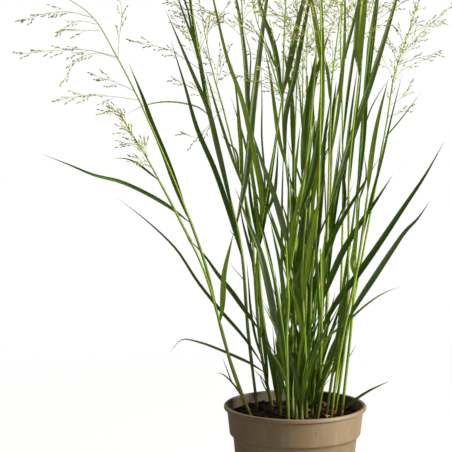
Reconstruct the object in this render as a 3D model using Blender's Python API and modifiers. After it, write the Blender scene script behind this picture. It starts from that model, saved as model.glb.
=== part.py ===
"""Potted switchgrass in a plastic nursery pot, with its seed heads.

Metres, +Z up. The origin is the centre of the pot's base, on the ground, and the front
of the plant faces -Y.
"""

import math
import random

import bmesh
import bpy
from mathutils import Vector
from mathutils.bvhtree import BVHTree

MM = 0.001

# Pot
POT_HEIGHT = 150 * MM
RIM_RADIUS = 95 * MM
RIM_CREST_RADIUS = 93 * MM
RIM_DEPTH = 5 * MM
RIM_BEVEL = 1.5 * MM
RIM_UNDERCUT = 0.5 * MM
COLLAR_TOP_RADIUS = 91 * MM
COLLAR_FOOT_RADIUS = 87.5 * MM
COLLAR_FOOT = 110 * MM
COLLAR_STEP = 4 * MM
BODY_TOP_RADIUS = 82.5 * MM
BASE_RADIUS = 72 * MM
BASE_ROUNDING = 1.5 * MM
WALL = 1.6 * MM
POT_STEPS = 24
DRAIN_HOLES = 4
DRAIN_RADIUS = 5 * MM
DRAIN_CIRCLE = 58 * MM
DRAIN_SIDES = 8

# Soil
SOIL_TOP = 136 * MM
SOIL_CROWN = 2.5 * MM
SOIL_SHOULDER = 0.55
FOOT_DEPTH = 9 * MM
SOCKET_RISE = 10 * MM
TOUCH_GAP = 0.4 * MM

# Culms and blades
CULM_FOOT_RADIUS = 2.3 * MM
CULM_TOP_RADIUS = 1.2 * MM
CULM_SIDES = 6
BLADE_THICK = 1.3 * MM
BLADE_FOOT_WIDTH = 0.55
BLADE_WIDEST_AT = 0.3
BLADE_TAPER = 1.7
BLADE_TIP_WIDTH = 0.14
BLADE_TIP_THICK = 0.55
LEAN_POWER = 1.5
CULM_LEAST = 3
BLADE_LEAST = 4
MOST_POINTS = 7
TURN_PER_POINT = math.radians(17)

# Seed heads
RACHIS_TIP_RADIUS = 0.75 * MM
BRANCH_FOOT_RADIUS = 0.45 * MM
BRANCH_TIP_RADIUS = 0.4 * MM
BRANCH_SIDES = 4
RACHIS_POINTS = 4
HEAD_GAP = 0.6 * MM
BRANCH_TAPER = 0.72
DRAWN_DEPTH = 18 * MM
LAST_BRANCH = 0.93
LONG_BRANCH = 80 * MM
BRANCH_DROOP = 0.16
GOLDEN_TURN = 137.5

# Finding room
SEED = 18
GAP = 0.45 * MM
DEPTH_STEP = 7 * MM
TURN_STEP = 13
MOST_TRIES = 16
FOOT_RINGS = 1
SPLINE_STEPS = 8
FINE_STEPS = 60

# Spare shoots, in millimetres; shares are of the height above the soil
SPARE_SHOOTS = 9
SPARE_SPACING = 9.5
SPARE_LEFT = -32
CLUMP_RADIUS = 60
SPARE_TOPS = (470, 610)
SPARE_BACKS = (90, 230)
FORWARD_TOPS = (330, 430)
FORWARD_LEANS = (70, 130)
SPARE_SPREAD = (1.0, 1.35)
SPARE_BEND = 8
SPARE_BOW = (1.05, 240)
SPARE_KNEE = 0.6
SPARE_COLLARS = (0.3, 0.55, 0.8)
SPARE_RISES = (110, 190)
SPARE_SIDE = 38
SPARE_WIDTHS = (6, 9)
SPARE_ARCHES = (50, 130)
SPARE_FACES = (20, 80)
SPARE_TWIST = 30
SPARE_FLOWERING = (0, 4, 7)
SPARE_HEAD = (60, 130)
SPARE_HEAD_FORM = {"back": 50, "branches": 6, "length": 95}
SPARE_CURVE = 0.3

# Meshes
WELD = 0.00001
SHARP_ANGLE = math.radians(35)
# Thin bars that meet at a shallow angle join cleanly only as closed meshes, by this solver.
THIN_SOLVER = "MANIFOLD"

# Front view
# The plant is laid out as it is seen from the front: an (x, z) pair is where a point
# appears in the upright plane through the pot's axis, and its depth is given apart.
VIEWPOINT = Vector((-0.0922, -2.343, 0.6695))


def seen_at(x, z, depth):
    """The point at that depth (y) which the front view shows at (x, z)."""
    share = (depth - VIEWPOINT.y) / -VIEWPOINT.y
    return VIEWPOINT + (Vector((x, 0, z)) - VIEWPOINT) * share


def shown(point):
    """Where the front view shows a point: its (x, z, depth)."""
    share = -VIEWPOINT.y / (point.y - VIEWPOINT.y)
    there = VIEWPOINT + (point - VIEWPOINT) * share
    return Vector((there.x, there.z, point.y))


# Smooth lines
def spline_point(before, start, end, after, t):
    """A point of the Catmull-Rom curve between start and end."""
    return 0.5 * (
        2 * start
        + (end - before) * t
        + (2 * before - 5 * start + 4 * end - after) * t * t
        + (3 * start - before - 3 * end + after) * t * t * t
    )


def smooth_line(points, count):
    """A smooth line through the points, as count points an equal way apart."""
    ends = [2 * points[0] - points[1], *points, 2 * points[-1] - points[-2]]
    dense = [
        spline_point(*ends[i : i + 4], step / SPLINE_STEPS)
        for i in range(len(points) - 1)
        for step in range(SPLINE_STEPS)
    ] + [points[-1]]
    return resample(dense, count)


def resample(line, count):
    """The same line as count points an equal way apart."""
    reached = [0.0]
    for a, b in zip(line, line[1:]):
        reached.append(reached[-1] + (b - a).length)
    found, i = [], 0
    for k in range(count):
        goal = reached[-1] * k / (count - 1)
        while i < len(line) - 2 and reached[i + 1] < goal:
            i += 1
        span = max(reached[i + 1] - reached[i], 1e-9)
        found.append(line[i].lerp(line[i + 1], (goal - reached[i]) / span))
    return found


def tangents(line):
    ahead = [*line[1:], 2 * line[-1] - line[-2]]
    behind = [2 * line[0] - line[1], *line[:-1]]
    return [(a - b).normalized() for a, b in zip(ahead, behind)]


# Lofts
def blade_width(share):
    """Width of a blade along its length, as a share of its greatest width."""
    swell = BLADE_FOOT_WIDTH + (1 - BLADE_FOOT_WIDTH) * min(1, share / BLADE_WIDEST_AT)
    taper = 1 - max(0, (share - BLADE_WIDEST_AT) / (1 - BLADE_WIDEST_AT)) ** BLADE_TAPER
    return max(swell * taper, BLADE_TIP_WIDTH)


def blade_sides(line, face, twist):
    """Across and face directions at each point of a blade.

    Its width is turned by face degrees out of the depth direction, and by twist more at its tip.
    """
    found = []
    for i, along in enumerate(tangents(line)):
        deep = (Vector((0, 1, 0)) - along * along.y).normalized()
        turn = math.radians(face + twist * i / (len(line) - 1))
        across = deep * math.cos(turn) + along.cross(deep) * math.sin(turn)
        found.append((across, along.cross(across)))
    return found


def blade_rings(line, width, face, twist, thick, margin=0.0):
    """Lens-shaped sections of a blade, four points each."""
    rings = []
    for i, (across, up) in enumerate(blade_sides(line, face, twist)):
        share = blade_width(i / (len(line) - 1))
        half = width * share / 2 + margin * 2
        rise = thick * max(share, BLADE_TIP_THICK) / 2 + margin
        centre = line[i]
        rings.append(
            [centre + across * half, centre + up * rise, centre - across * half, centre - up * rise]
        )
    return rings


def tube_rings(line, radii, sides):
    """Round sections along a line."""
    rings = []
    for centre, along, radius in zip(line, tangents(line), radii):
        across = along.cross(Vector((0, 1, 0))).normalized()
        up = along.cross(across)
        turns = [2 * math.pi * k / sides for k in range(sides)]
        rings.append([centre + (across * math.cos(a) + up * math.sin(a)) * radius for a in turns])
    return rings


def loft(rings):
    """Points and faces of a closed skin over sections with the same number of points."""
    sides = len(rings[0])
    points = [p for ring in rings for p in ring]
    faces = [tuple(reversed(range(sides)))]
    for i in range(len(rings) - 1):
        low, high = i * sides, (i + 1) * sides
        for k in range(sides):
            n = (k + 1) % sides
            faces.append((low + k, low + n, high + n, high + k))
    top = (len(rings) - 1) * sides
    faces.append(tuple(range(top, top + sides)))
    return points, faces


# Finding room
# Two shoots never touch: a piece is tried in one place after another until it is clear
# of everything that belongs to the other shoots.
class Room:
    """What is already placed, as (owner, search tree)."""

    def __init__(self):
        self.placed = []

    def clear(self, owner, skin):
        tree = BVHTree.FromPolygons(*skin)
        return not any(tree.overlap(other) for name, other in self.placed if name != owner)

    def add(self, owner, skin):
        self.placed.append((owner, BVHTree.FromPolygons(*skin)))


def steps_about(middle, step):
    """middle, then values further and further to both sides of it."""
    yield middle
    for k in range(1, MOST_TRIES):
        yield middle + step * k
        yield middle - step * k


def points_for(line, least):
    """How many points a line needs: more where it bends."""
    ways = tangents(line)
    turned_by = sum(a.angle(b) for a, b in zip(ways, ways[1:]))
    return min(MOST_POINTS, least + round(turned_by / TURN_PER_POINT))


def culm_radius(share):
    return CULM_FOOT_RADIUS + (CULM_TOP_RADIUS - CULM_FOOT_RADIUS) * share


def culm_skin(line, margin=0.0):
    radii = [culm_radius(i / (len(line) - 1)) + margin for i in range(len(line))]
    return loft(tube_rings(line, radii, CULM_SIDES))


def branch_rings(line, margin=0.0):
    steps = len(line) - 1
    radii = [
        BRANCH_FOOT_RADIUS + (BRANCH_TIP_RADIUS - BRANCH_FOOT_RADIUS) * i / steps + margin
        for i in range(len(line))
    ]
    return tube_rings(line, radii, BRANCH_SIDES)


def rachis_skin(line, margin=0.0):
    steps = len(line) - 1
    radii = [
        CULM_TOP_RADIUS + (RACHIS_TIP_RADIUS - CULM_TOP_RADIUS) * i / steps + margin
        for i in range(len(line))
    ]
    return loft(tube_rings(line, radii, BRANCH_SIDES))


# Shoots
def culm_line(shoot, depth):
    """The culm in front-view coordinates, from its buried foot to its top."""
    x, y = shoot["foot"]
    foot = Vector((x * MM, y * MM, SOIL_TOP))
    rest = [Vector((a * MM, b * MM, 0)) for a, b in shoot["culm"]]
    low, high = shown(foot).y, rest[-1].y
    for point in rest:
        share = (point.y - low) / (high - low)
        point.z = y * MM + depth * share**LEAN_POWER
    lean = seen_at(*rest[0]) - foot
    buried = foot - lean * (FOOT_DEPTH / lean.z)
    points = [shown(buried), shown(foot), *rest]
    return smooth_line(points, FINE_STEPS)


def place_culm(shoot, room):
    for depth in steps_about(shoot["back"] * MM, DEPTH_STEP):
        fine = culm_line(shoot, depth)
        line = [seen_at(*p) for p in fine]
        line = resample(line, points_for(line, CULM_LEAST))
        if room.clear(shoot["name"], culm_skin(line, GAP)):
            break
    room.add(shoot["name"], culm_skin(line))
    shoot["line"] = line
    shoot["front"] = [shown(point) for point in resample(line, FINE_STEPS)]


def on_culm(shoot, height):
    """The culm's point that the front view shows at that height."""
    return min(shoot["front"], key=lambda p: abs(p.y - height))


def blade_line(shoot, blade, depth):
    """A blade from the culm through the points that the front view shows."""
    rest = blade["points"]
    start = on_culm(shoot, blade["leaves_at"] * MM)
    points = [start]
    for i, (x, z) in enumerate(rest, 1):
        back = start.z + depth * (i / len(rest)) ** LEAN_POWER
        points.append(Vector((x * MM, z * MM, back)))
    return [seen_at(*p) for p in smooth_line(points, FINE_STEPS)]


def place_blade(shoot, blade, room):
    """Keeps the first place that is clear of the other shoots, and past its foot of its own too.

    Where there is none, it may meet its own shoot. Returns whether there is a place.
    """
    shape = (blade["width"] * MM, blade["face"], blade["twist"], BLADE_THICK)
    for alone in (True, False):
        for depth in steps_about(blade["back"] * MM, DEPTH_STEP):
            line = blade_line(shoot, blade, depth)
            line = resample(line, points_for(line, BLADE_LEAST))
            rings = blade_rings(line, *shape, GAP)
            if not room.clear(shoot["name"], loft(rings)):
                continue
            if alone and not room.clear(None, loft(rings[FOOT_RINGS:])):
                continue
            room.add(shoot["name"], loft(blade_rings(line, *shape)))
            blade["line"] = line
            return True
    return False


# The shoots
# Numbers in these rows are millimetres. A foot is a place on the soil seen from above. The
# culm, blade and seed head points are front-view ones. A blade starts on its culm at the
# height where it leaves it. back is how much further to the back the tip is than the foot,
# and face the turn about a blade's own length, where 90 shows its whole width.
def blade(leaves_at, points, width, back=0, face=72, twist=0):
    return {
        "leaves_at": leaves_at,
        "points": points,
        "width": width,
        "back": back,
        "face": face,
        "twist": twist,
    }


def seed_head(line, back=0, branches=7, length=105, rise=48, first=0.05, drawn=()):
    """drawn holds branches by their front-view points; the others go round the axis."""
    return {
        "points": line,
        "back": back,
        "branches": branches,
        "length": length,
        "rise": rise,
        "first": first,
        "drawn": drawn,
    }


def shoot(foot, back, culm, blades, head=None):
    return {"foot": foot, "back": back, "culm": culm, "blades": blades, "head": head}


def front_shoots():
    """The shoots that are seen from the front, from left to right at their feet."""
    return [
        shoot(
            (-61, -6),
            -60,
            [(-83, 190), (-106, 285), (-126, 360), (-145, 408), (-163, 457), (-193, 530), (-204, 552)],
            [
                blade(158, [(-80, 175), (-95, 190), (-107, 193)], 3, -15),
                blade(
                    395,
                    [(-166, 415), (-190, 430), (-228, 448), (-256, 454), (-296, 470), (-332, 484)],
                    6,
                    -50,
                ),
                blade(400, [(-155, 437), (-169, 477), (-182, 508), (-207, 576), (-219, 603)], 9, -20),
            ],
            seed_head(
                [(-215, 572), (-233, 609), (-250, 640), (-264, 662), (-296, 688), (-325, 702)],
                -30,
                branches=2,
                length=80,
                first=0.55,
                drawn=[
                    (556, [(-240, 560), (-280, 561), (-310, 556)]),
                    (568, [(-232, 577), (-265, 588)]),
                    (609, [(-255, 616), (-280, 614), (-303, 582)]),
                    (612, [(-255, 619), (-300, 621), (-357, 616)]),
                    (610, [(-231, 640), (-228, 660), (-229, 690)]),
                    (662, [(-290, 669), (-315, 670), (-355, 660)]),
                    (655, [(-280, 660), (-310, 645)]),
                ],
            ),
        ),
        shoot(
            (-58, -22),
            -110,
            [(-78, 180), (-89, 220), (-101, 262), (-128, 350), (-142, 376), (-161, 413), (-186, 461)],
            [
                blade(258, [(-96, 285), (-95, 320), (-92, 340), (-82, 382)], 8, -35, 60, 40),
                blade(450, [(-205, 470), (-224, 479), (-241, 478)], 3, -10),
            ],
            seed_head([(-196, 480), (-211, 504), (-225, 527), (-235, 543)], -10, 6, 26, 20),
        ),
        shoot(
            (-50, 24),
            30,
            [(-57, 180), (-64, 262), (-72, 357), (-82, 410), (-98, 470), (-112, 530), (-122, 585)],
            [
                blade(350, [(-83, 395), (-112, 480), (-132, 525), (-150, 590), (-164, 633)], 8, -40),
                blade(388, [(-68, 430), (-61, 500), (-55, 560), (-40, 680), (-27, 755)], 10, 60, 85),
                blade(400, [(-90, 440), (-118, 555), (-133, 585), (-148, 620), (-171, 673)], 8, -25),
                blade(470, [(-110, 525), (-122, 585), (-134, 655), (-148, 745)], 7, 40),
                blade(535, [(-130, 547), (-160, 553), (-185, 552), (-215, 542), (-224, 535)], 2.5, -10),
            ],
            seed_head([(-131, 635), (-138, 688), (-147, 745)], 20, 7, 110),
        ),
        shoot(
            (-29, 42),
            90,
            [(-43, 200), (-53, 300), (-58, 380), (-64, 423), (-74, 455), (-85, 505), (-96, 545)],
            [
                blade(448, [(-80, 470), (-92, 505), (-108, 557), (-120, 598)], 5, 20),
                blade(455, [(-72, 485), (-76, 525), (-78, 557)], 5, 40),
            ],
            seed_head([(-107, 585), (-112, 602), (-120, 645), (-128, 690)], 25, 7, 80, 40),
        ),
        shoot(
            (-20, 54),
            150,
            [(-41, 250), (-50, 350), (-55, 450), (-64, 540), (-68, 580), (-70, 630)],
            [blade(330, [(-50, 400), (-62, 480), (-86, 560)], 6, 70)],
            seed_head([(-72, 690), (-78, 760)], 30, 6, 105),
        ),
        shoot(
            (-29, 2),
            -20,
            [(-34, 170), (-40, 198), (-50, 252), (-55, 300), (-50, 352), (-37, 440), (-27, 500), (-19, 557)],
            [
                blade(
                    190,
                    [(-60, 206), (-90, 220), (-120, 232), (-145, 238), (-158, 234), (-167, 220)],
                    4.5,
                    -25,
                ),
                blade(198, [(-60, 230), (-80, 256), (-120, 302), (-166, 369), (-234, 426)], 5, -60),
                blade(252, [(-65, 275), (-80, 297), (-100, 322), (-120, 350), (-142, 373)], 7, -30),
                blade(360, [(-42, 400), (-57, 495), (-67, 545), (-80, 575), (-94, 625), (-122, 745)], 7, -90),
                blade(405, [(-42, 435), (-47, 460), (-57, 515)], 5, 30),
            ],
            seed_head([(-28, 592), (-38, 617), (-48, 640), (-57, 680), (-64, 730)], -20, 7, 100),
        ),
        shoot(
            (-21, -24),
            -40,
            [(-22, 160), (-20, 228), (-16, 270), (-5, 350), (4, 395), (12, 440), (16, 500), (26, 625)],
            [
                blade(226, [(-28, 270), (-37, 315), (-50, 365), (-65, 400), (-80, 440)], 10, -45, 85),
                blade(345, [(-12, 375), (-28, 430), (-45, 475), (-58, 515)], 9, -50),
            ],
            seed_head([(23, 665), (19, 690), (16, 750)], 20, 6, 100),
        ),
        shoot(
            (-10, 14),
            60,
            [(-12, 165), (-14, 240), (-7, 350), (-7, 400), (-12, 440), (-16, 480), (-18, 560), (-16, 650)],
            [
                blade(465, [(-24, 515), (-32, 575), (-42, 625)], 6, -15),
                blade(480, [(-14, 530), (-8, 560), (1, 600), (8, 640), (20, 700), (32, 745)], 8, 50),
                blade(560, [(-9, 600), (-5, 620), (3, 660), (12, 695), (24, 735)], 9, -20),
                blade(655, [(-20, 660), (-33, 680), (-42, 697), (-60, 728)], 8, 10),
            ],
            seed_head([(-14, 690), (-12, 750)], 10, 6, 100),
        ),
        shoot(
            (3, -10),
            -90,
            [(8, 160), (18, 200), (17, 233), (22, 330), (28, 400), (30, 470), (32, 570), (32, 615)],
            [
                blade(236, [(20, 290), (25, 312), (43, 362), (62, 400), (93, 452), (109, 480)], 8, -60),
                blade(600, [(28, 640), (23, 665), (16, 700), (5, 742)], 7, 20),
            ],
            seed_head([(31, 650), (30, 690), (28, 750)], -20, 6, 100),
        ),
        shoot(
            (21, -18),
            -30,
            [(24, 176), (30, 240), (34, 290), (40, 350), (44, 400), (43, 470), (42, 545), (46, 580)],
            [
                blade(184, [(30, 198), (40, 204), (54, 216)], 3, -15),
                blade(230, [(57, 252), (78, 270), (97, 287), (115, 299), (138, 309)], 3.5, -40),
                blade(238, [(37, 260), (60, 295), (92, 338), (136, 405), (170, 457), (194, 501)], 9, -70),
                blade(288, [(45, 315), (70, 370), (92, 402), (115, 438), (127, 457)], 9, -20),
                blade(398, [(50, 420), (63, 475), (93, 565), (116, 640), (140, 720), (158, 760)], 9, 40, 80),
                blade(545, [(43, 575), (41, 595), (36, 615)], 4, -20),
            ],
            seed_head([(50, 615), (60, 690), (66, 750)], 16, 6, 100),
        ),
        shoot(
            (27, -40),
            -60,
            [(38, 178), (50, 208)],
            [blade(190, [(56, 240), (62, 280), (70, 330)], 5, -30)],
        ),
        shoot(
            (33, 50),
            170,
            [(40, 250), (44, 350), (46, 450), (50, 555), (58, 585), (65, 620)],
            [blade(300, [(48, 380), (58, 450), (74, 520)], 7, 80)],
            seed_head([(75, 665), (82, 690), (92, 745)], 30, 6, 105),
        ),
        shoot(
            (42, -8),
            110,
            [(47, 155), (51, 180), (59, 277), (61, 350), (62, 440), (60, 540), (57, 580), (57, 640)],
            [
                blade(198, [(60, 240), (66, 277), (72, 330)], 5, -20),
                blade(430, [(66, 480), (72, 540), (80, 600)], 5, 60),
            ],
            seed_head([(60, 690), (62, 755)], 20, 6, 100),
        ),
        shoot(
            (46, -28),
            -50,
            [(56, 200), (68, 270), (80, 325), (88, 385), (95, 438)],
            [
                blade(360, [(93, 400), (113, 480), (125, 535), (138, 590)], 4, 30),
                blade(430, [(98, 470), (102, 500), (107, 530), (120, 583)], 7, -20),
            ],
        ),
        shoot(
            (49, 22),
            80,
            [(62, 200), (75, 280), (84, 330), (93, 380), (103, 430), (112, 490), (119, 530)],
            [blade(505, [(130, 522), (148, 545), (162, 565)], 2, 10)],
            seed_head(
                [(122, 555), (130, 598), (136, 610), (143, 635), (156, 676), (163, 700)],
                20,
                branches=4,
                length=60,
                rise=35,
                first=0.3,
                drawn=[
                    (534, [(138, 540), (148, 546)]),
                    (548, [(137, 557), (150, 578)]),
                    (602, [(158, 610), (186, 616)]),
                    (612, [(152, 632), (170, 650), (190, 655)]),
                    (640, [(165, 650), (184, 662), (201, 680)]),
                    (600, [(126, 620), (118, 632)]),
                ],
            ),
        ),
        shoot(
            (54, 4),
            -70,
            [(57, 155), (62, 200), (69, 265), (70, 340), (67, 416), (70, 470), (74, 528), (82, 588)],
            [
                blade(262, [(80, 283), (105, 322), (142, 379), (158, 396), (176, 422)], 8, -60),
                blade(586, [(81, 612), (83, 640), (88, 690), (92, 745)], 12, 10, 80),
            ],
        ),
        shoot(
            (61, -14),
            40,
            [(66, 180), (72, 235), (76, 277), (78, 320), (80, 400), (84, 500), (88, 570), (93, 630)],
            [
                blade(143, [(70, 148), (80, 156), (100, 169), (127, 182)], 4, -20),
                blade(500, [(94, 535), (103, 555), (120, 583)], 2, 10),
            ],
            seed_head([(103, 690), (110, 750)], 20, 7, 100),
        ),
    ]


def spare_shoots(draw, feet):
    """Shoots inside the clump and behind it. They lean to the back and a little to the front."""
    found = []
    while len(found) < SPARE_SHOOTS:
        reach = CLUMP_RADIUS * math.sqrt(draw.random())
        turn = draw.uniform(0, 2 * math.pi)
        foot = (reach * math.cos(turn), reach * math.sin(turn))
        if foot[0] < SPARE_LEFT or any(math.dist(foot, other) < SPARE_SPACING for other in feet):
            continue
        feet.append(foot)
        found.append(spare_shoot(draw, foot, len(found)))
    return found


def spare_shoot(draw, foot, number):
    """A culm with its blades; each third one leans forward, and three of the others flower."""
    forward = number % 3 == 2
    ground = SOIL_TOP / MM
    top = draw.uniform(*FORWARD_TOPS) if forward else draw.uniform(*SPARE_TOPS)
    back = -draw.uniform(*FORWARD_LEANS) if forward else draw.uniform(*SPARE_BACKS)
    x = foot[0] * draw.uniform(*SPARE_SPREAD)
    bend = draw.uniform(-SPARE_BEND, SPARE_BEND)
    bow, bow_height = SPARE_BOW
    knee = (x + bend, ground + (top - ground) * SPARE_KNEE)
    culm = [(foot[0] * bow, bow_height), knee, (x, top)]
    blades = []
    for share in SPARE_COLLARS[: 2 if forward else 3]:
        height = ground + (top - ground) * share
        rise = draw.uniform(*SPARE_RISES)
        side = draw.uniform(-SPARE_SIDE, SPARE_SIDE)
        start = foot[0] + (x - foot[0]) * share
        blades.append(
            blade(
                height,
                [(start + side * SPARE_CURVE, height + rise / 2), (start + side, height + rise)],
                draw.uniform(*SPARE_WIDTHS),
                math.copysign(draw.uniform(*SPARE_ARCHES), back),
                draw.uniform(*SPARE_FACES),
                draw.uniform(-SPARE_TWIST, SPARE_TWIST),
            )
        )
    head = None
    if number in SPARE_FLOWERING:
        middle, tip = SPARE_HEAD
        head = seed_head([(x, top + middle), (x * bow, top + tip)], **SPARE_HEAD_FORM)
    return shoot(foot, back, culm, blades, head)


# Seed heads
def rachis_line(shoot, depth):
    """The seed head's axis in front-view coordinates, from the top of the culm."""
    head = shoot["head"]
    start = shoot["front"][-1]
    points = [start]
    for i, (x, z) in enumerate(head["points"], 1):
        points.append(Vector((x * MM, z * MM, start.z + depth * i / len(head["points"]))))
    return smooth_line(points, FINE_STEPS)


def place_rachis(shoot, room):
    head = shoot["head"]
    for depth in steps_about(head["back"] * MM, DEPTH_STEP):
        fine = rachis_line(shoot, depth)
        line = resample([seen_at(*p) for p in fine], RACHIS_POINTS)
        line[0] += (line[1] - line[0]).normalized() * HEAD_GAP
        if room.clear(head["name"], rachis_skin(line, GAP)):
            break
    room.add(head["name"], rachis_skin(line))
    head["line"] = line
    head["front"] = [shown(point) for point in resample(line, FINE_STEPS)]


def drawn_branch(head, leaves_at, points, depth):
    """A branch through front-view points."""
    start = min(head["front"], key=lambda p: abs(p.y - leaves_at * MM))
    along = [start]
    for i, (x, z) in enumerate(points, 1):
        along.append(Vector((x * MM, z * MM, start.z + depth * i / len(points))))
    return [seen_at(*p) for p in smooth_line(along, FINE_STEPS)]


def free_branch(head, number, turn):
    """A branch that rises from the axis at its own turn about it, and droops at its tip."""
    share = head["first"] + (LAST_BRANCH - head["first"]) * number / (head["branches"] - 1)
    line = resample(head["line"], FINE_STEPS)
    at = round(share * (FINE_STEPS - 1))
    along = (line[min(at + 1, FINE_STEPS - 1)] - line[at - 1]).normalized()
    side = along.cross(Vector((0, 1, 0))).normalized()
    out = side * math.cos(turn) + along.cross(side) * math.sin(turn)
    rise = math.radians(head["rise"])
    way = along * math.cos(rise) + out * math.sin(rise)
    length = head["length"] * MM * (1 - BRANCH_TAPER * share)
    middle = line[at] + way * length * 0.5
    tip = line[at] + way * length - Vector((0, 0, BRANCH_DROOP * length))
    return smooth_line([line[at], middle, tip], FINE_STEPS)


def try_branch(head, fine, points, room):
    """Keeps a branch that is clear of other pieces and, past its foot, of its own seed head."""
    line = resample(fine, points)
    foot = resample(fine, 2 * points - 1)
    if not room.clear(head["name"], loft(branch_rings(line, GAP))):
        return False
    if not room.clear(None, loft(branch_rings(foot[1:], GAP))):
        return False
    room.add(head["name"], loft(branch_rings(line)))
    head["twigs"].append(line)
    return True


def place_branches(shoot, room):
    head = shoot["head"]
    head["twigs"] = []
    for number, (leaves_at, points) in enumerate(head["drawn"]):
        middle = DRAWN_DEPTH if number % 2 else -DRAWN_DEPTH
        for depth in steps_about(middle, DEPTH_STEP):
            fine = drawn_branch(head, leaves_at, points, depth)
            if try_branch(head, fine, 1 + max(2, len(points)), room):
                break
    for number in range(head["branches"]):
        for turn in steps_about(GOLDEN_TURN * number, TURN_STEP):
            fine = free_branch(head, number, math.radians(turn))
            points = 3 if (fine[0] - fine[-1]).length > LONG_BRANCH else 2
            if try_branch(head, fine, points, room):
                break


# The whole plant
def grow():
    """Every shoot with its lines in place."""
    draw = random.Random(SEED)
    shoots = front_shoots()
    shoots += spare_shoots(draw, [s["foot"] for s in shoots])
    heads = 0
    for number, each in enumerate(shoots, 1):
        each["name"] = f"shoot_{number:02d}"
        if each["head"]:
            heads += 1
            each["head"]["name"] = f"seed_head_{heads:02d}"
    room = Room()
    flowering = [s for s in shoots if s["head"]]
    for each in shoots:
        place_culm(each, room)
    for each in flowering:
        place_rachis(each, room)
    for each in shoots:
        each["blades"] = [b for b in each["blades"] if place_blade(each, b, room)]
    for each in flowering:
        place_branches(each, room)
    return shoots


# Solids
def material(name, colour, roughness):
    made = bpy.data.materials.new(name)
    made.use_nodes = True
    shader = made.node_tree.nodes["Principled BSDF"]
    shader.inputs["Base Color"].default_value = (*colour, 1)
    shader.inputs["Roughness"].default_value = roughness
    shader.inputs["Metallic"].default_value = 0
    return made


def new_object(name, data):
    made = bpy.data.objects.new(name, data)
    bpy.context.scene.collection.objects.link(made)
    return made


def skin_object(name, skin):
    mesh = bpy.data.meshes.new(name)
    mesh.from_pydata(skin[0], [], skin[1])
    return new_object(name, mesh)


def wire_object(name, line, foot_radius, tip_radius, resolution):
    """A tapering round bar along a line, as a closed mesh."""
    curve = bpy.data.curves.new(name, "CURVE")
    curve.dimensions = "3D"
    curve.bevel_depth = foot_radius
    curve.bevel_resolution = resolution
    curve.use_fill_caps = True
    spline = curve.splines.new("POLY")
    spline.points.add(len(line) - 1)
    for i, place in enumerate(line):
        spline.points[i].co = (*place, 1)
        share = i / (len(line) - 1)
        spline.points[i].radius = 1 + (tip_radius / foot_radius - 1) * share
    return baked(new_object(name, curve))


def baked(thing):
    """The object with its modifiers applied, as a mesh with its loose points welded."""
    name = thing.name
    bpy.context.view_layer.update()
    graph = bpy.context.evaluated_depsgraph_get()
    mesh = bpy.data.meshes.new_from_object(thing.evaluated_get(graph))
    place = thing.matrix_world.copy()
    bpy.data.objects.remove(thing)
    work = bmesh.new()
    work.from_mesh(mesh)
    bmesh.ops.remove_doubles(work, verts=work.verts, dist=WELD)
    bmesh.ops.recalc_face_normals(work, faces=work.faces)
    bmesh.ops.triangulate(work, faces=work.faces)
    work.to_mesh(mesh)
    work.free()
    made = new_object(name, mesh)
    made.name = name
    made.matrix_world = place
    return made


def combine(name, base, others, operation, solver="EXACT"):
    """One solid from base and the others, by a Boolean each."""
    for other in others:
        step = base.modifiers.new("join", "BOOLEAN")
        step.operation = operation
        step.solver = solver
        step.object = other
    made = baked(base)
    for other in others:
        bpy.data.objects.remove(other)
    made.name = name
    return made


def turned(name, profile):
    """A solid of revolution about Z from a closed profile that runs down its outer side."""
    mesh = bpy.data.meshes.new(name)
    edges = [(i, (i + 1) % len(profile)) for i in range(len(profile))]
    if profile[0][0] == 0:
        edges.pop()
    mesh.from_pydata([(r, 0, z) for r, z in profile], edges, [])
    made = new_object(name, mesh)
    screw = made.modifiers.new("turn", "SCREW")
    screw.steps = screw.render_steps = POT_STEPS
    screw.use_merge_vertices = True
    screw.merge_threshold = WELD
    return baked(made)


def inner(radius, gap=0.0):
    return radius - WALL - gap


def make_pot():
    lip = POT_HEIGHT - RIM_DEPTH
    step_top = COLLAR_FOOT - COLLAR_STEP
    profile = [
        (RIM_CREST_RADIUS, POT_HEIGHT),
        (RIM_RADIUS, POT_HEIGHT - RIM_BEVEL),
        (RIM_RADIUS, lip + RIM_UNDERCUT),
        (COLLAR_TOP_RADIUS, lip),
        (COLLAR_FOOT_RADIUS, COLLAR_FOOT),
        (BODY_TOP_RADIUS, step_top),
        (BASE_RADIUS + BASE_ROUNDING / 2, BASE_ROUNDING),
        (BASE_RADIUS - BASE_ROUNDING, 0),
        (0, 0),
        (0, WALL),
        (inner(BASE_RADIUS), WALL),
        (inner(BODY_TOP_RADIUS), step_top + WALL),
        (inner(COLLAR_FOOT_RADIUS), COLLAR_FOOT + WALL),
        (inner(COLLAR_TOP_RADIUS), lip),
        (RIM_CREST_RADIUS - 2 * WALL, POT_HEIGHT - RIM_BEVEL),
    ]
    pot = turned("pot", profile)
    holes = []
    for k in range(DRAIN_HOLES):
        turn = 2 * math.pi * k / DRAIN_HOLES
        bpy.ops.mesh.primitive_cylinder_add(
            vertices=DRAIN_SIDES,
            radius=DRAIN_RADIUS,
            depth=WALL * 4,
            location=(DRAIN_CIRCLE * math.cos(turn), DRAIN_CIRCLE * math.sin(turn), WALL / 2),
        )
        holes.append(bpy.context.object)
    return combine("pot", pot, holes, "DIFFERENCE")


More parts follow.
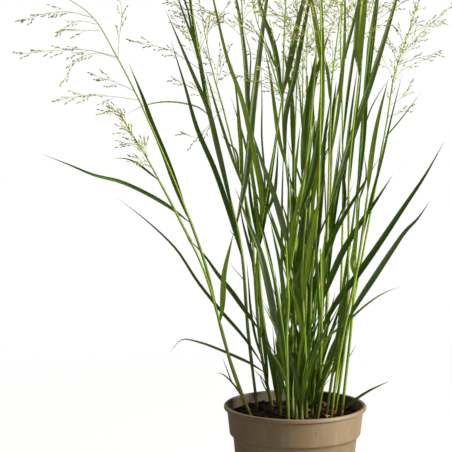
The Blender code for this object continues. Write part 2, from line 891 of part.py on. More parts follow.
def make_soil(shoots):
    """The soil, filling the pot, with a socket round each shoot's foot."""
    lip = POT_HEIGHT - RIM_DEPTH
    slope = (COLLAR_TOP_RADIUS - COLLAR_FOOT_RADIUS) / (lip - COLLAR_FOOT)
    edge = COLLAR_TOP_RADIUS - slope * (lip - SOIL_TOP)
    profile = [
        (0, SOIL_TOP + SOIL_CROWN),
        (inner(edge) * SOIL_SHOULDER, SOIL_TOP + SOIL_CROWN / 2),
        (inner(edge, TOUCH_GAP), SOIL_TOP),
        (inner(COLLAR_FOOT_RADIUS, TOUCH_GAP), COLLAR_FOOT + WALL + TOUCH_GAP),
        (inner(BODY_TOP_RADIUS, TOUCH_GAP), COLLAR_FOOT - COLLAR_STEP + WALL + TOUCH_GAP),
        (inner(BASE_RADIUS, TOUCH_GAP), WALL + TOUCH_GAP),
        (0, WALL + TOUCH_GAP),
    ]
    soil = turned("soil", profile)
    sockets = []
    for each in shoots:
        way = (each["line"][1] - each["line"][0]).normalized()
        low = each["line"][0] - way * TOUCH_GAP
        radius = CULM_FOOT_RADIUS + TOUCH_GAP
        points = [low, low + way * (FOOT_DEPTH + SOCKET_RISE)]
        sockets.append(wire_object("socket", points, radius, radius, 1))
    return combine("soil", soil, sockets, "DIFFERENCE")


def make_shoot(each):
    culm = wire_object(each["name"], each["line"], CULM_FOOT_RADIUS, CULM_TOP_RADIUS, 1)
    blades = []
    for one in each["blades"]:
        rings = blade_rings(one["line"], one["width"] * MM, one["face"], one["twist"], BLADE_THICK)
        blades.append(skin_object("blade", loft(rings)))
    return combine(each["name"], culm, blades, "UNION", THIN_SOLVER)


def make_head(head):
    rachis = wire_object(head["name"], head["line"], CULM_TOP_RADIUS, RACHIS_TIP_RADIUS, 0)
    twigs = [
        wire_object("twig", line, BRANCH_FOOT_RADIUS, BRANCH_TIP_RADIUS, 0)
        for line in head["twigs"]
    ]
    return combine(head["name"], rachis, twigs, "UNION", THIN_SOLVER)


def main():
    for old in list(bpy.data.objects):
        bpy.data.objects.remove(old)
    shoots = grow()
    plastic = material("taupe_plastic", (0.33, 0.27, 0.19), 0.5)
    earth = material("dark_soil", (0.035, 0.022, 0.014), 0.95)
    green = material("green_blade", (0.06, 0.16, 0.03), 0.45)
    straw = material("seed_head_straw", (0.25, 0.24, 0.08), 0.6)
    parts = [(make_pot(), plastic), (make_soil(shoots), earth)]
    parts += [(make_shoot(each), green) for each in shoots]
    parts += [(make_head(each["head"]), straw) for each in shoots if each["head"]]
    home = bpy.data.collections.new("potted_switchgrass")
    bpy.context.scene.collection.children.link(home)
    for part, look in parts:
        part.data.materials.clear()
        part.data.materials.append(look)
        part.data.shade_smooth()
        part.data.set_sharp_from_angle(angle=SHARP_ANGLE)
        bpy.context.scene.collection.objects.unlink(part)
        home.objects.link(part)


main()
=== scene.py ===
"""The looks of the potted switchgrass, in metres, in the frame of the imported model."""

import math
import random

import bmesh
import bpy
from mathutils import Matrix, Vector, noise
from mathutils.bvhtree import BVHTree


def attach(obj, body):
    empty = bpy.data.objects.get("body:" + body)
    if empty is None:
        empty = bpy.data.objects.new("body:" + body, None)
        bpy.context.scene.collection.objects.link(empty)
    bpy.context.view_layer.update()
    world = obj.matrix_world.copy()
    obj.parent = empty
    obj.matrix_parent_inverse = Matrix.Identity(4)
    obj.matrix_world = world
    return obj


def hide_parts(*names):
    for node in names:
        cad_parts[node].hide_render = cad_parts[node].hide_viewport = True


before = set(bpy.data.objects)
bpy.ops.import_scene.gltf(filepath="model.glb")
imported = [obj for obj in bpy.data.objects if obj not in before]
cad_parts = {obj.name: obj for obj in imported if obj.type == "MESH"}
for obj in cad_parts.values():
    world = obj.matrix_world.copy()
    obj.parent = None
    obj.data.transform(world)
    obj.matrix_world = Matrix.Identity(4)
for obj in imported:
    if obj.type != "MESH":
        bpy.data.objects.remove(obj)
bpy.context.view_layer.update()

MM = 0.001

# Pot
POT_HEIGHT = 150 * MM
RIM_RADIUS = 95 * MM
RIM_CREST_RADIUS = 93 * MM
RIM_DEPTH = 5 * MM
COLLAR_TOP_RADIUS = 91 * MM
COLLAR_FOOT_RADIUS = 87.5 * MM
COLLAR_FOOT = 110 * MM
COLLAR_STEP = 4 * MM
BODY_TOP_RADIUS = 82.5 * MM
BASE_RADIUS = 72 * MM
BASE_ROUNDING = 1.5 * MM
WALL = 1.6 * MM
DRAIN_HOLES = 4
DRAIN_RADIUS = 5 * MM
DRAIN_CIRCLE = 58 * MM

# Soil
SOIL_TOP = 136 * MM
SOIL_CROWN = 2.5 * MM
FOOT_DEPTH = 9 * MM
TOUCH_GAP = 0.4 * MM

# Culms and blades
CULM_FOOT_RADIUS = 2.3 * MM
CULM_TOP_RADIUS = 1.2 * MM
CULM_SIDES = 6
BLADE_THICK = 1.3 * MM
BLADE_FOOT_WIDTH = 0.55
BLADE_WIDEST_AT = 0.3
BLADE_TAPER = 1.7
BLADE_TIP_WIDTH = 0.14
BLADE_TIP_THICK = 0.55
LEAN_POWER = 1.5
CULM_LEAST = 3
BLADE_LEAST = 4
MOST_POINTS = 7
TURN_PER_POINT = math.radians(17)

# Seed heads
RACHIS_TIP_RADIUS = 0.75 * MM
BRANCH_FOOT_RADIUS = 0.45 * MM
BRANCH_TIP_RADIUS = 0.4 * MM
BRANCH_SIDES = 4
RACHIS_POINTS = 4
HEAD_GAP = 0.6 * MM
BRANCH_TAPER = 0.72
DRAWN_DEPTH = 18 * MM
LAST_BRANCH = 0.93
LONG_BRANCH = 80 * MM
BRANCH_DROOP = 0.16
GOLDEN_TURN = 137.5

# Finding room
SEED = 18
GAP = 0.45 * MM
DEPTH_STEP = 7 * MM
TURN_STEP = 13
MOST_TRIES = 16
FOOT_RINGS = 1
SPLINE_STEPS = 8
FINE_STEPS = 60

# Spare shoots, in millimetres; shares are of the height above the soil
SPARE_SHOOTS = 9
SPARE_SPACING = 9.5
SPARE_LEFT = -32
CLUMP_RADIUS = 60
SPARE_TOPS = (470, 610)
SPARE_BACKS = (90, 230)
FORWARD_TOPS = (330, 430)
FORWARD_LEANS = (70, 130)
SPARE_SPREAD = (1.0, 1.35)
SPARE_BEND = 8
SPARE_BOW = (1.05, 240)
SPARE_KNEE = 0.6
SPARE_COLLARS = (0.3, 0.55, 0.8)
SPARE_RISES = (110, 190)
SPARE_SIDE = 38
SPARE_WIDTHS = (6, 9)
SPARE_ARCHES = (50, 130)
SPARE_FACES = (20, 80)
SPARE_TWIST = 30
SPARE_FLOWERING = (0, 4, 7)
SPARE_HEAD = (60, 130)
SPARE_HEAD_FORM = {"back": 50, "branches": 6, "length": 95}
SPARE_CURVE = 0.3

# Finish of the pot and the soil
LIP_ROUND = 2.2 * MM
COLLAR_ROUND = 3 * MM
POT_FACETS = 128
POT_LIGHT = (0.172, 0.113, 0.049)
POT_DARK = (0.148, 0.094, 0.038)
# Paler tone of the rub marks, and of the painted highlight along the lip's crest
POT_RUB_AND_HIGHLIGHT = (0.27, 0.2, 0.115)
# Colour of dirt specks, of dried soil and painted shade on the inner wall, and of the painted shade under the
# lip
POT_DIRT_AND_SHADE = (0.04, 0.022, 0.01)
POT_GLOSS = 0.9
POT_ROUGH = ((0.3, 0.52), (0.7, 0.66))
RUB_MARKS = ((0.5, 0.0), (0.75, 0.35))
DIRT_SPECKS = ((0.7, 0.0), (0.76, 0.6))
# How far the inner wall is darkened: dried soil splashes and painted shade
SOILED_AND_SHADED = ((0.3, 0.35), (0.65, 0.85))
# Height of the painted shade band under the lip
UNDER_LIP_SHADE_DEPTH = 2.4 * MM
SOIL_GLOSS = 0.1
SOIL_ROWS = 48
SOIL_FACETS = 160
SOIL_BLACK = (0.005, 0.004, 0.003)
SOIL_DARK = (0.014, 0.009, 0.006)
SOIL_BROWN = (0.06, 0.03, 0.014)
CHIPS = 620
CHIPS_BRIGHTER = (-30 * MM, 45 * MM)
CHIP_SIZES = (2, 3, 4, 5, 7, 9, 12)
CHIP_TONES = [
    (0.24, 0.08, 0.022),
    (0.15, 0.05, 0.016),
    (0.04, 0.02, 0.012),
    (0.02, 0.011, 0.007),
    (0.26, 0.17, 0.09),
]
BARK_SHADES = ((0.3, 0.55), (0.7, 1.25))
CHIP_SECTIONS = ((-0.5, 0.45), (-0.3, 0.9), (0.05, 1.0), (0.32, 0.85), (0.5, 0.4))
CHIP_SIDES = 6

# Finish of the leaves and culms
FULL_TURN = 6.28
GRAIN_SEEDS = 50
LEAF_THICK = 0.35 * MM
MIDRIB = 0.25 * MM
FOLD_FOOT = math.radians(60)
FOLD_BLADE = math.radians(34)
FOLD_PAST = 0.12
FOLD_POWER = 1.2
WAVE = 0.1
WAVE_COUNTS = (1.2, 2.6)
WAVE_START = 0.25
EDGE_THIN = 0.7
RIB_POWER = 3
LEAST_THICK = 0.35
FOLD_EASE = 1.15
FINE_FOOT = 0.34
ACROSS = 2
BLADE_CUTS = 26
FINE_TIP = 0.03
CULM_CUTS = 44
CULM_FACETS = 10
FINE_CULM = 0.88
JOINT_SWELL = 0.45 * MM
JOINT_LENGTH = 0.006
SHEATH_THICK = 0.35 * MM
SHEATH_LENGTH = 100 * MM
VEINS = 9
# Heights in the front view, in millimetres, of the joints that it shows on a shoot
JOINTS_SEEN = {
    4: (423, 455),
    6: (357,),
    7: (228, 471),
    8: (240,),
    9: (233,),
    10: (176,),
    13: (193,),
    16: (265, 416),
    17: (540,),
}
BASE_LEAVES = 6
BASE_RISE = (50 * MM, 150 * MM)
BASE_SPREAD = 0.34
LOW_LEAVES = 40
LOW_RISE = (80 * MM, 220 * MM)
LOW_SPREAD = 0.26
LOW_LEAF_TOP = 330 * MM
CLUMP_LEFT = -42 * MM
CLUMP_RIGHT = 48 * MM
CLUMP_HEIGHT = 220 * MM
CLUMP_MIDDLE = 5 * MM
CLUMP_EDGES = (-60 * MM, 80 * MM)
OUTWARD = 2.0
LEAF_WIDTHS = (3, 6.5)
TONE_DRAWS = ("dark", "dark", "mid", "mid", "blue", "bright", "bright")
SHEATH_BROWN = (0.13, 0.06, 0.015)
LEAF_GLOSS = 0.22
LEAF_ROUGH = 0.4
VEIN_SHADES = ((0.0, 0.86), (0.75, 1.0))
VEIN_RELIEF = 0.2 * MM
BLOTCH_STRETCH = (0.6, 28, 1)
BLOTCH_SHADES = ((0.3, 0.8), (0.7, 1.16))
STREAK_STRETCH = (14, 9, 1)
STREAK_SHADES = ((0.3, 0.88), (0.7, 1.1))
LEAF_DARK = (0.045, 0.115, 0.008)
LEAF_BLUE = (0.15, 0.235, 0.085)
LEAF_MID = (0.125, 0.25, 0.018)
LEAF_BRIGHT = (0.3, 0.47, 0.025)
CULM_GREEN = (0.17, 0.3, 0.02)
CULM_GOLD = (0.34, 0.38, 0.04)
GOLD_SHARES = (0.1, 0.6)
BASE_TONE = (0.13, 0.19, 0.02)
SHEATH_TONE = (0.12, 0.2, 0.04)
JOINT_TONE = (0.2, 0.12, 0.03)
UNDERSIDE = (0.12, 0.22, 0.06)
UNDERSIDE_SHARE = 0.22
EDGE_SHARE = 0.35
# Painted light towards the top of the clump, where light shines through the thin leaves
TOP_LIGHT_TONE = (0.34, 0.46, 0.08)
TOP_LIGHT_HEIGHTS = (0.42, 0.72)
TOP_LIGHT_SHARE = 0.38
# Painted shade low in the clump, among the crowded leaves
LOW_SHADE_TONE = (0.03, 0.065, 0.004)
LOW_SHADE_HEIGHTS = (0.17, 0.34)
LOW_SHADE_SHARE = 0.3
EDGE_TONE = (0.24, 0.35, 0.04)
FOOT_TONE = (0.2, 0.34, 0.04)
FOOT_BROWN = (0.12, 0.055, 0.014)
FOOT_BROWN_TOP = 22 * MM
BROWN_SHARE = 0.8
SHEATH_SHARE = 0.4
JOINT_SHARE = 0.75
PALE_FOOT = 40
FOOT_SHARE = 0.45
FOOT_LENGTH = 0.14
TIP_TONE = (0.4, 0.3, 0.12)
TIP_START = 0.8

# Finish of the seed heads
SPIKELET_PROFILE = ((0, 0.05), (0.2, 0.16), (0.5, 0.2), (0.8, 0.13), (1.0, 0.02))
SPIKELET_SIDES = 6
SPIKELET_LENGTH = (3.4 * MM, 5 * MM)
SPIKELET_SPACING = 7 * MM
SPRIG_SPACING = 12 * MM
SPRIG_START = 0.25
FINE_TWIGS = 6
MORE_TWIGS = {1: 0, 2: 6, 13: 8}
TWIG_RISES = (16, 40)
TWIG_SHARES = (0.45, 0.95)
AXIS_SPRIGS = {2: 14, 13: 30}
AXIS_SPRIG_LENGTHS = (5 * MM, 11 * MM)
SPRIG_LENGTH = 30 * MM
SPRIG_REACHES = (0.7, 1.1)
SPRIG_SHORTER = 0.62
LEAST_SPRIGS = 3
TIP_SPRIG = 9 * MM
TURN_LOOSE = 30
TWIG_OPENINGS = (0.2, 0.55)
TWIG_CUTS = 16
TWIG_TAPER = 0.5
AXIS_OPENINGS = (0.1, 0.4)
AXIS_CUTS = 24
AXIS_SPRIG_START = 3
STALK_RADIUS = 0.18 * MM
RACHIS_FOOT = 1.1 * MM
RACHIS_TAPER = 0.65
TWIG_FOOT = 0.36 * MM
SPIKELET_GOLD = (0.47, 0.44, 0.15)
SPIKELET_OLIVE = (0.33, 0.4, 0.1)
SPIKELET_PURPLE = (0.3, 0.2, 0.1)
SPIKELET_TIP = (0.52, 0.45, 0.18)
STALK_TONE = (0.36, 0.44, 0.1)
STRAW_ROUGH = 0.6
FLECK_STRETCH = (6, 300, 1)
FLECK_SHADES = ((0.3, 0.75), (0.7, 1.2))

# Light and camera
LOOKS_SEED = 5
SKY_WARMTH = (1.0, 0.88, 0.68)
WORLD_LIGHT = 0.06
GROUND_RADIUS = 9
GROUND_GLOW = 0.56
WHITE_LEAST = 0.5
WHITE_FROM = 0.35
WHITE_PAST = 1.3
GROUND_TONES = ((0.3, (0.55, 0.54, 0.52)), (0.7, (0.59, 0.58, 0.56)))
# Name, place, aim, size, power and colour of each light
LIGHTS = (
    ("key", (2.6, -0.85, 1.15), (0, 0, 0.35), 1.0, 190, (1.0, 0.98, 0.93)),
    ("fill", (-0.6, -2.9, 1.6), (0, 0, 0.35), 1.8, 16, (1.0, 0.91, 0.76)),
    ("back", (-1.6, 2.4, 1.8), (0, 0.1, 0.4), 1.4, 22, (1.0, 1.0, 1.0)),
)
LENS = 142.48
CAMERA_DOWN = 6.814

# Front view
# The plant is laid out as it is seen from the front: an (x, z) pair is where a point
# appears in the upright plane through the pot's axis, and its depth is given apart.
VIEWPOINT = Vector((-0.0922, -2.343, 0.6695))


def seen_at(x, z, depth):
    """The point at that depth (y) which the front view shows at (x, z)."""
    share = (depth - VIEWPOINT.y) / -VIEWPOINT.y
    return VIEWPOINT + (Vector((x, 0, z)) - VIEWPOINT) * share


def shown(point):
    """Where the front view shows a point: its (x, z, depth)."""
    share = -VIEWPOINT.y / (point.y - VIEWPOINT.y)
    there = VIEWPOINT + (point - VIEWPOINT) * share
    return Vector((there.x, there.z, point.y))


# Smooth lines
def spline_point(before, start, end, after, t):
    """A point of the Catmull-Rom curve between start and end."""
    return 0.5 * (
        2 * start
        + (end - before) * t
        + (2 * before - 5 * start + 4 * end - after) * t * t
        + (3 * start - before - 3 * end + after) * t * t * t
    )


def smooth_line(points, count):
    """A smooth line through the points, as count points an equal way apart."""
    ends = [2 * points[0] - points[1], *points, 2 * points[-1] - points[-2]]
    dense = [
        spline_point(*ends[i : i + 4], step / SPLINE_STEPS)
        for i in range(len(points) - 1)
        for step in range(SPLINE_STEPS)
    ] + [points[-1]]
    return resample(dense, count)


def resample(line, count):
    """The same line as count points an equal way apart."""
    reached = [0.0]
    for a, b in zip(line, line[1:]):
        reached.append(reached[-1] + (b - a).length)
    found, i = [], 0
    for k in range(count):
        goal = reached[-1] * k / (count - 1)
        while i < len(line) - 2 and reached[i + 1] < goal:
            i += 1
        span = max(reached[i + 1] - reached[i], 1e-9)
        found.append(line[i].lerp(line[i + 1], (goal - reached[i]) / span))
    return found


def tangents(line):
    ahead = [*line[1:], 2 * line[-1] - line[-2]]
    behind = [2 * line[0] - line[1], *line[:-1]]
    return [(a - b).normalized() for a, b in zip(ahead, behind)]


# Lofts
def blade_width(share):
    """Width of a blade along its length, as a share of its greatest width."""
    swell = BLADE_FOOT_WIDTH + (1 - BLADE_FOOT_WIDTH) * min(1, share / BLADE_WIDEST_AT)
    taper = 1 - max(0, (share - BLADE_WIDEST_AT) / (1 - BLADE_WIDEST_AT)) ** BLADE_TAPER
    return max(swell * taper, BLADE_TIP_WIDTH)


def blade_sides(line, face, twist):
    """Across and face directions at each point of a blade.

    Its width is turned by face degrees out of the depth direction, and by twist more at its tip.
    """
    found = []
    for i, along in enumerate(tangents(line)):
        deep = (Vector((0, 1, 0)) - along * along.y).normalized()
        turn = math.radians(face + twist * i / (len(line) - 1))
        across = deep * math.cos(turn) + along.cross(deep) * math.sin(turn)
        found.append((across, along.cross(across)))
    return found


def blade_rings(line, width, face, twist, thick, margin=0.0):
    """Lens-shaped sections of a blade, four points each."""
    rings = []
    for i, (across, up) in enumerate(blade_sides(line, face, twist)):
        share = blade_width(i / (len(line) - 1))
        half = width * share / 2 + margin * 2
        rise = thick * max(share, BLADE_TIP_THICK) / 2 + margin
        centre = line[i]
        rings.append(
            [centre + across * half, centre + up * rise, centre - across * half, centre - up * rise]
        )
    return rings


def tube_rings(line, radii, sides):
    """Round sections along a line."""
    rings = []
    for centre, along, radius in zip(line, tangents(line), radii):
        across = along.cross(Vector((0, 1, 0))).normalized()
        up = along.cross(across)
        turns = [2 * math.pi * k / sides for k in range(sides)]
        rings.append([centre + (across * math.cos(a) + up * math.sin(a)) * radius for a in turns])
    return rings


def loft(rings):
    """Points and faces of a closed skin over sections with the same number of points."""
    sides = len(rings[0])
    points = [p for ring in rings for p in ring]
    faces = [tuple(reversed(range(sides)))]
    for i in range(len(rings) - 1):
        low, high = i * sides, (i + 1) * sides
        for k in range(sides):
            n = (k + 1) % sides
            faces.append((low + k, low + n, high + n, high + k))
    top = (len(rings) - 1) * sides
    faces.append(tuple(range(top, top + sides)))
    return points, faces


# Finding room
# Two shoots never touch: a piece is tried in one place after another until it is clear
# of everything that belongs to the other shoots.
class Room:
    """What is already placed, as (owner, search tree)."""

    def __init__(self):
        self.placed = []

    def clear(self, owner, skin):
        tree = BVHTree.FromPolygons(*skin)
        return not any(tree.overlap(other) for name, other in self.placed if name != owner)

    def add(self, owner, skin):
        self.placed.append((owner, BVHTree.FromPolygons(*skin)))


def steps_about(middle, step):
    """middle, then values further and further to both sides of it."""
    yield middle
    for k in range(1, MOST_TRIES):
        yield middle + step * k
        yield middle - step * k


def points_for(line, least):
    """How many points a line needs: more where it bends."""
    ways = tangents(line)
    turned_by = sum(a.angle(b) for a, b in zip(ways, ways[1:]))
    return min(MOST_POINTS, least + round(turned_by / TURN_PER_POINT))


def culm_radius(share):
    return CULM_FOOT_RADIUS + (CULM_TOP_RADIUS - CULM_FOOT_RADIUS) * share


def culm_skin(line, margin=0.0):
    radii = [culm_radius(i / (len(line) - 1)) + margin for i in range(len(line))]
    return loft(tube_rings(line, radii, CULM_SIDES))


def branch_rings(line, margin=0.0):
    steps = len(line) - 1
    radii = [
        BRANCH_FOOT_RADIUS + (BRANCH_TIP_RADIUS - BRANCH_FOOT_RADIUS) * i / steps + margin
        for i in range(len(line))
    ]
    return tube_rings(line, radii, BRANCH_SIDES)


def rachis_skin(line, margin=0.0):
    steps = len(line) - 1
    radii = [
        CULM_TOP_RADIUS + (RACHIS_TIP_RADIUS - CULM_TOP_RADIUS) * i / steps + margin
        for i in range(len(line))
    ]
    return loft(tube_rings(line, radii, BRANCH_SIDES))


# Shoots
def culm_line(shoot, depth):
    """The culm in front-view coordinates, from its buried foot to its top."""
    x, y = shoot["foot"]
    foot = Vector((x * MM, y * MM, SOIL_TOP))
    rest = [Vector((a * MM, b * MM, 0)) for a, b in shoot["culm"]]
    low, high = shown(foot).y, rest[-1].y
    for point in rest:
        share = (point.y - low) / (high - low)
        point.z = y * MM + depth * share**LEAN_POWER
    lean = seen_at(*rest[0]) - foot
    buried = foot - lean * (FOOT_DEPTH / lean.z)
    points = [shown(buried), shown(foot), *rest]
    return smooth_line(points, FINE_STEPS)


def place_culm(shoot, room):
    for depth in steps_about(shoot["back"] * MM, DEPTH_STEP):
        fine = culm_line(shoot, depth)
        line = [seen_at(*p) for p in fine]
        line = resample(line, points_for(line, CULM_LEAST))
        if room.clear(shoot["name"], culm_skin(line, GAP)):
            break
    room.add(shoot["name"], culm_skin(line))
    shoot["line"] = line
    shoot["front"] = [shown(point) for point in resample(line, FINE_STEPS)]


def on_culm(shoot, height):
    """The culm's point that the front view shows at that height."""
    return min(shoot["front"], key=lambda p: abs(p.y - height))


def blade_line(shoot, blade, depth):
    """A blade from the culm through the points that the front view shows."""
    rest = blade["points"]
    start = on_culm(shoot, blade["leaves_at"] * MM)
    points = [start]
    for i, (x, z) in enumerate(rest, 1):
        back = start.z + depth * (i / len(rest)) ** LEAN_POWER
        points.append(Vector((x * MM, z * MM, back)))
    return [seen_at(*p) for p in smooth_line(points, FINE_STEPS)]


def place_blade(shoot, blade, room):
    """Keeps the first place that is clear of the other shoots, and past its foot of its own too.

    Where there is none, it may meet its own shoot. Returns whether there is a place.
    """
    shape = (blade["width"] * MM, blade["face"], blade["twist"], BLADE_THICK)
    for alone in (True, False):
        for depth in steps_about(blade["back"] * MM, DEPTH_STEP):
            line = blade_line(shoot, blade, depth)
            line = resample(line, points_for(line, BLADE_LEAST))
            rings = blade_rings(line, *shape, GAP)
            if not room.clear(shoot["name"], loft(rings)):
                continue
            if alone and not room.clear(None, loft(rings[FOOT_RINGS:])):
                continue
            room.add(shoot["name"], loft(blade_rings(line, *shape)))
            blade["line"] = line
            return True
    return False


# The shoots
# Numbers in these rows are millimetres. A foot is a place on the soil seen from above. The
# culm, blade and seed head points are front-view ones. A blade starts on its culm at the
# height where it leaves it. back is how much further to the back the tip is than the foot,
# and face the turn about a blade's own length, where 90 shows its whole width.
def blade(leaves_at, points, width, back=0, face=72, twist=0):
    return {
        "leaves_at": leaves_at,
        "points": points,
        "width": width,
        "back": back,
        "face": face,
        "twist": twist,
    }


def seed_head(line, back=0, branches=7, length=105, rise=48, first=0.05, drawn=()):
    """drawn holds branches by their front-view points; the others go round the axis."""
    return {
        "points": line,
        "back": back,
        "branches": branches,
        "length": length,
        "rise": rise,
        "first": first,
        "drawn": drawn,
    }


def shoot(foot, back, culm, blades, head=None):
    return {"foot": foot, "back": back, "culm": culm, "blades": blades, "head": head}


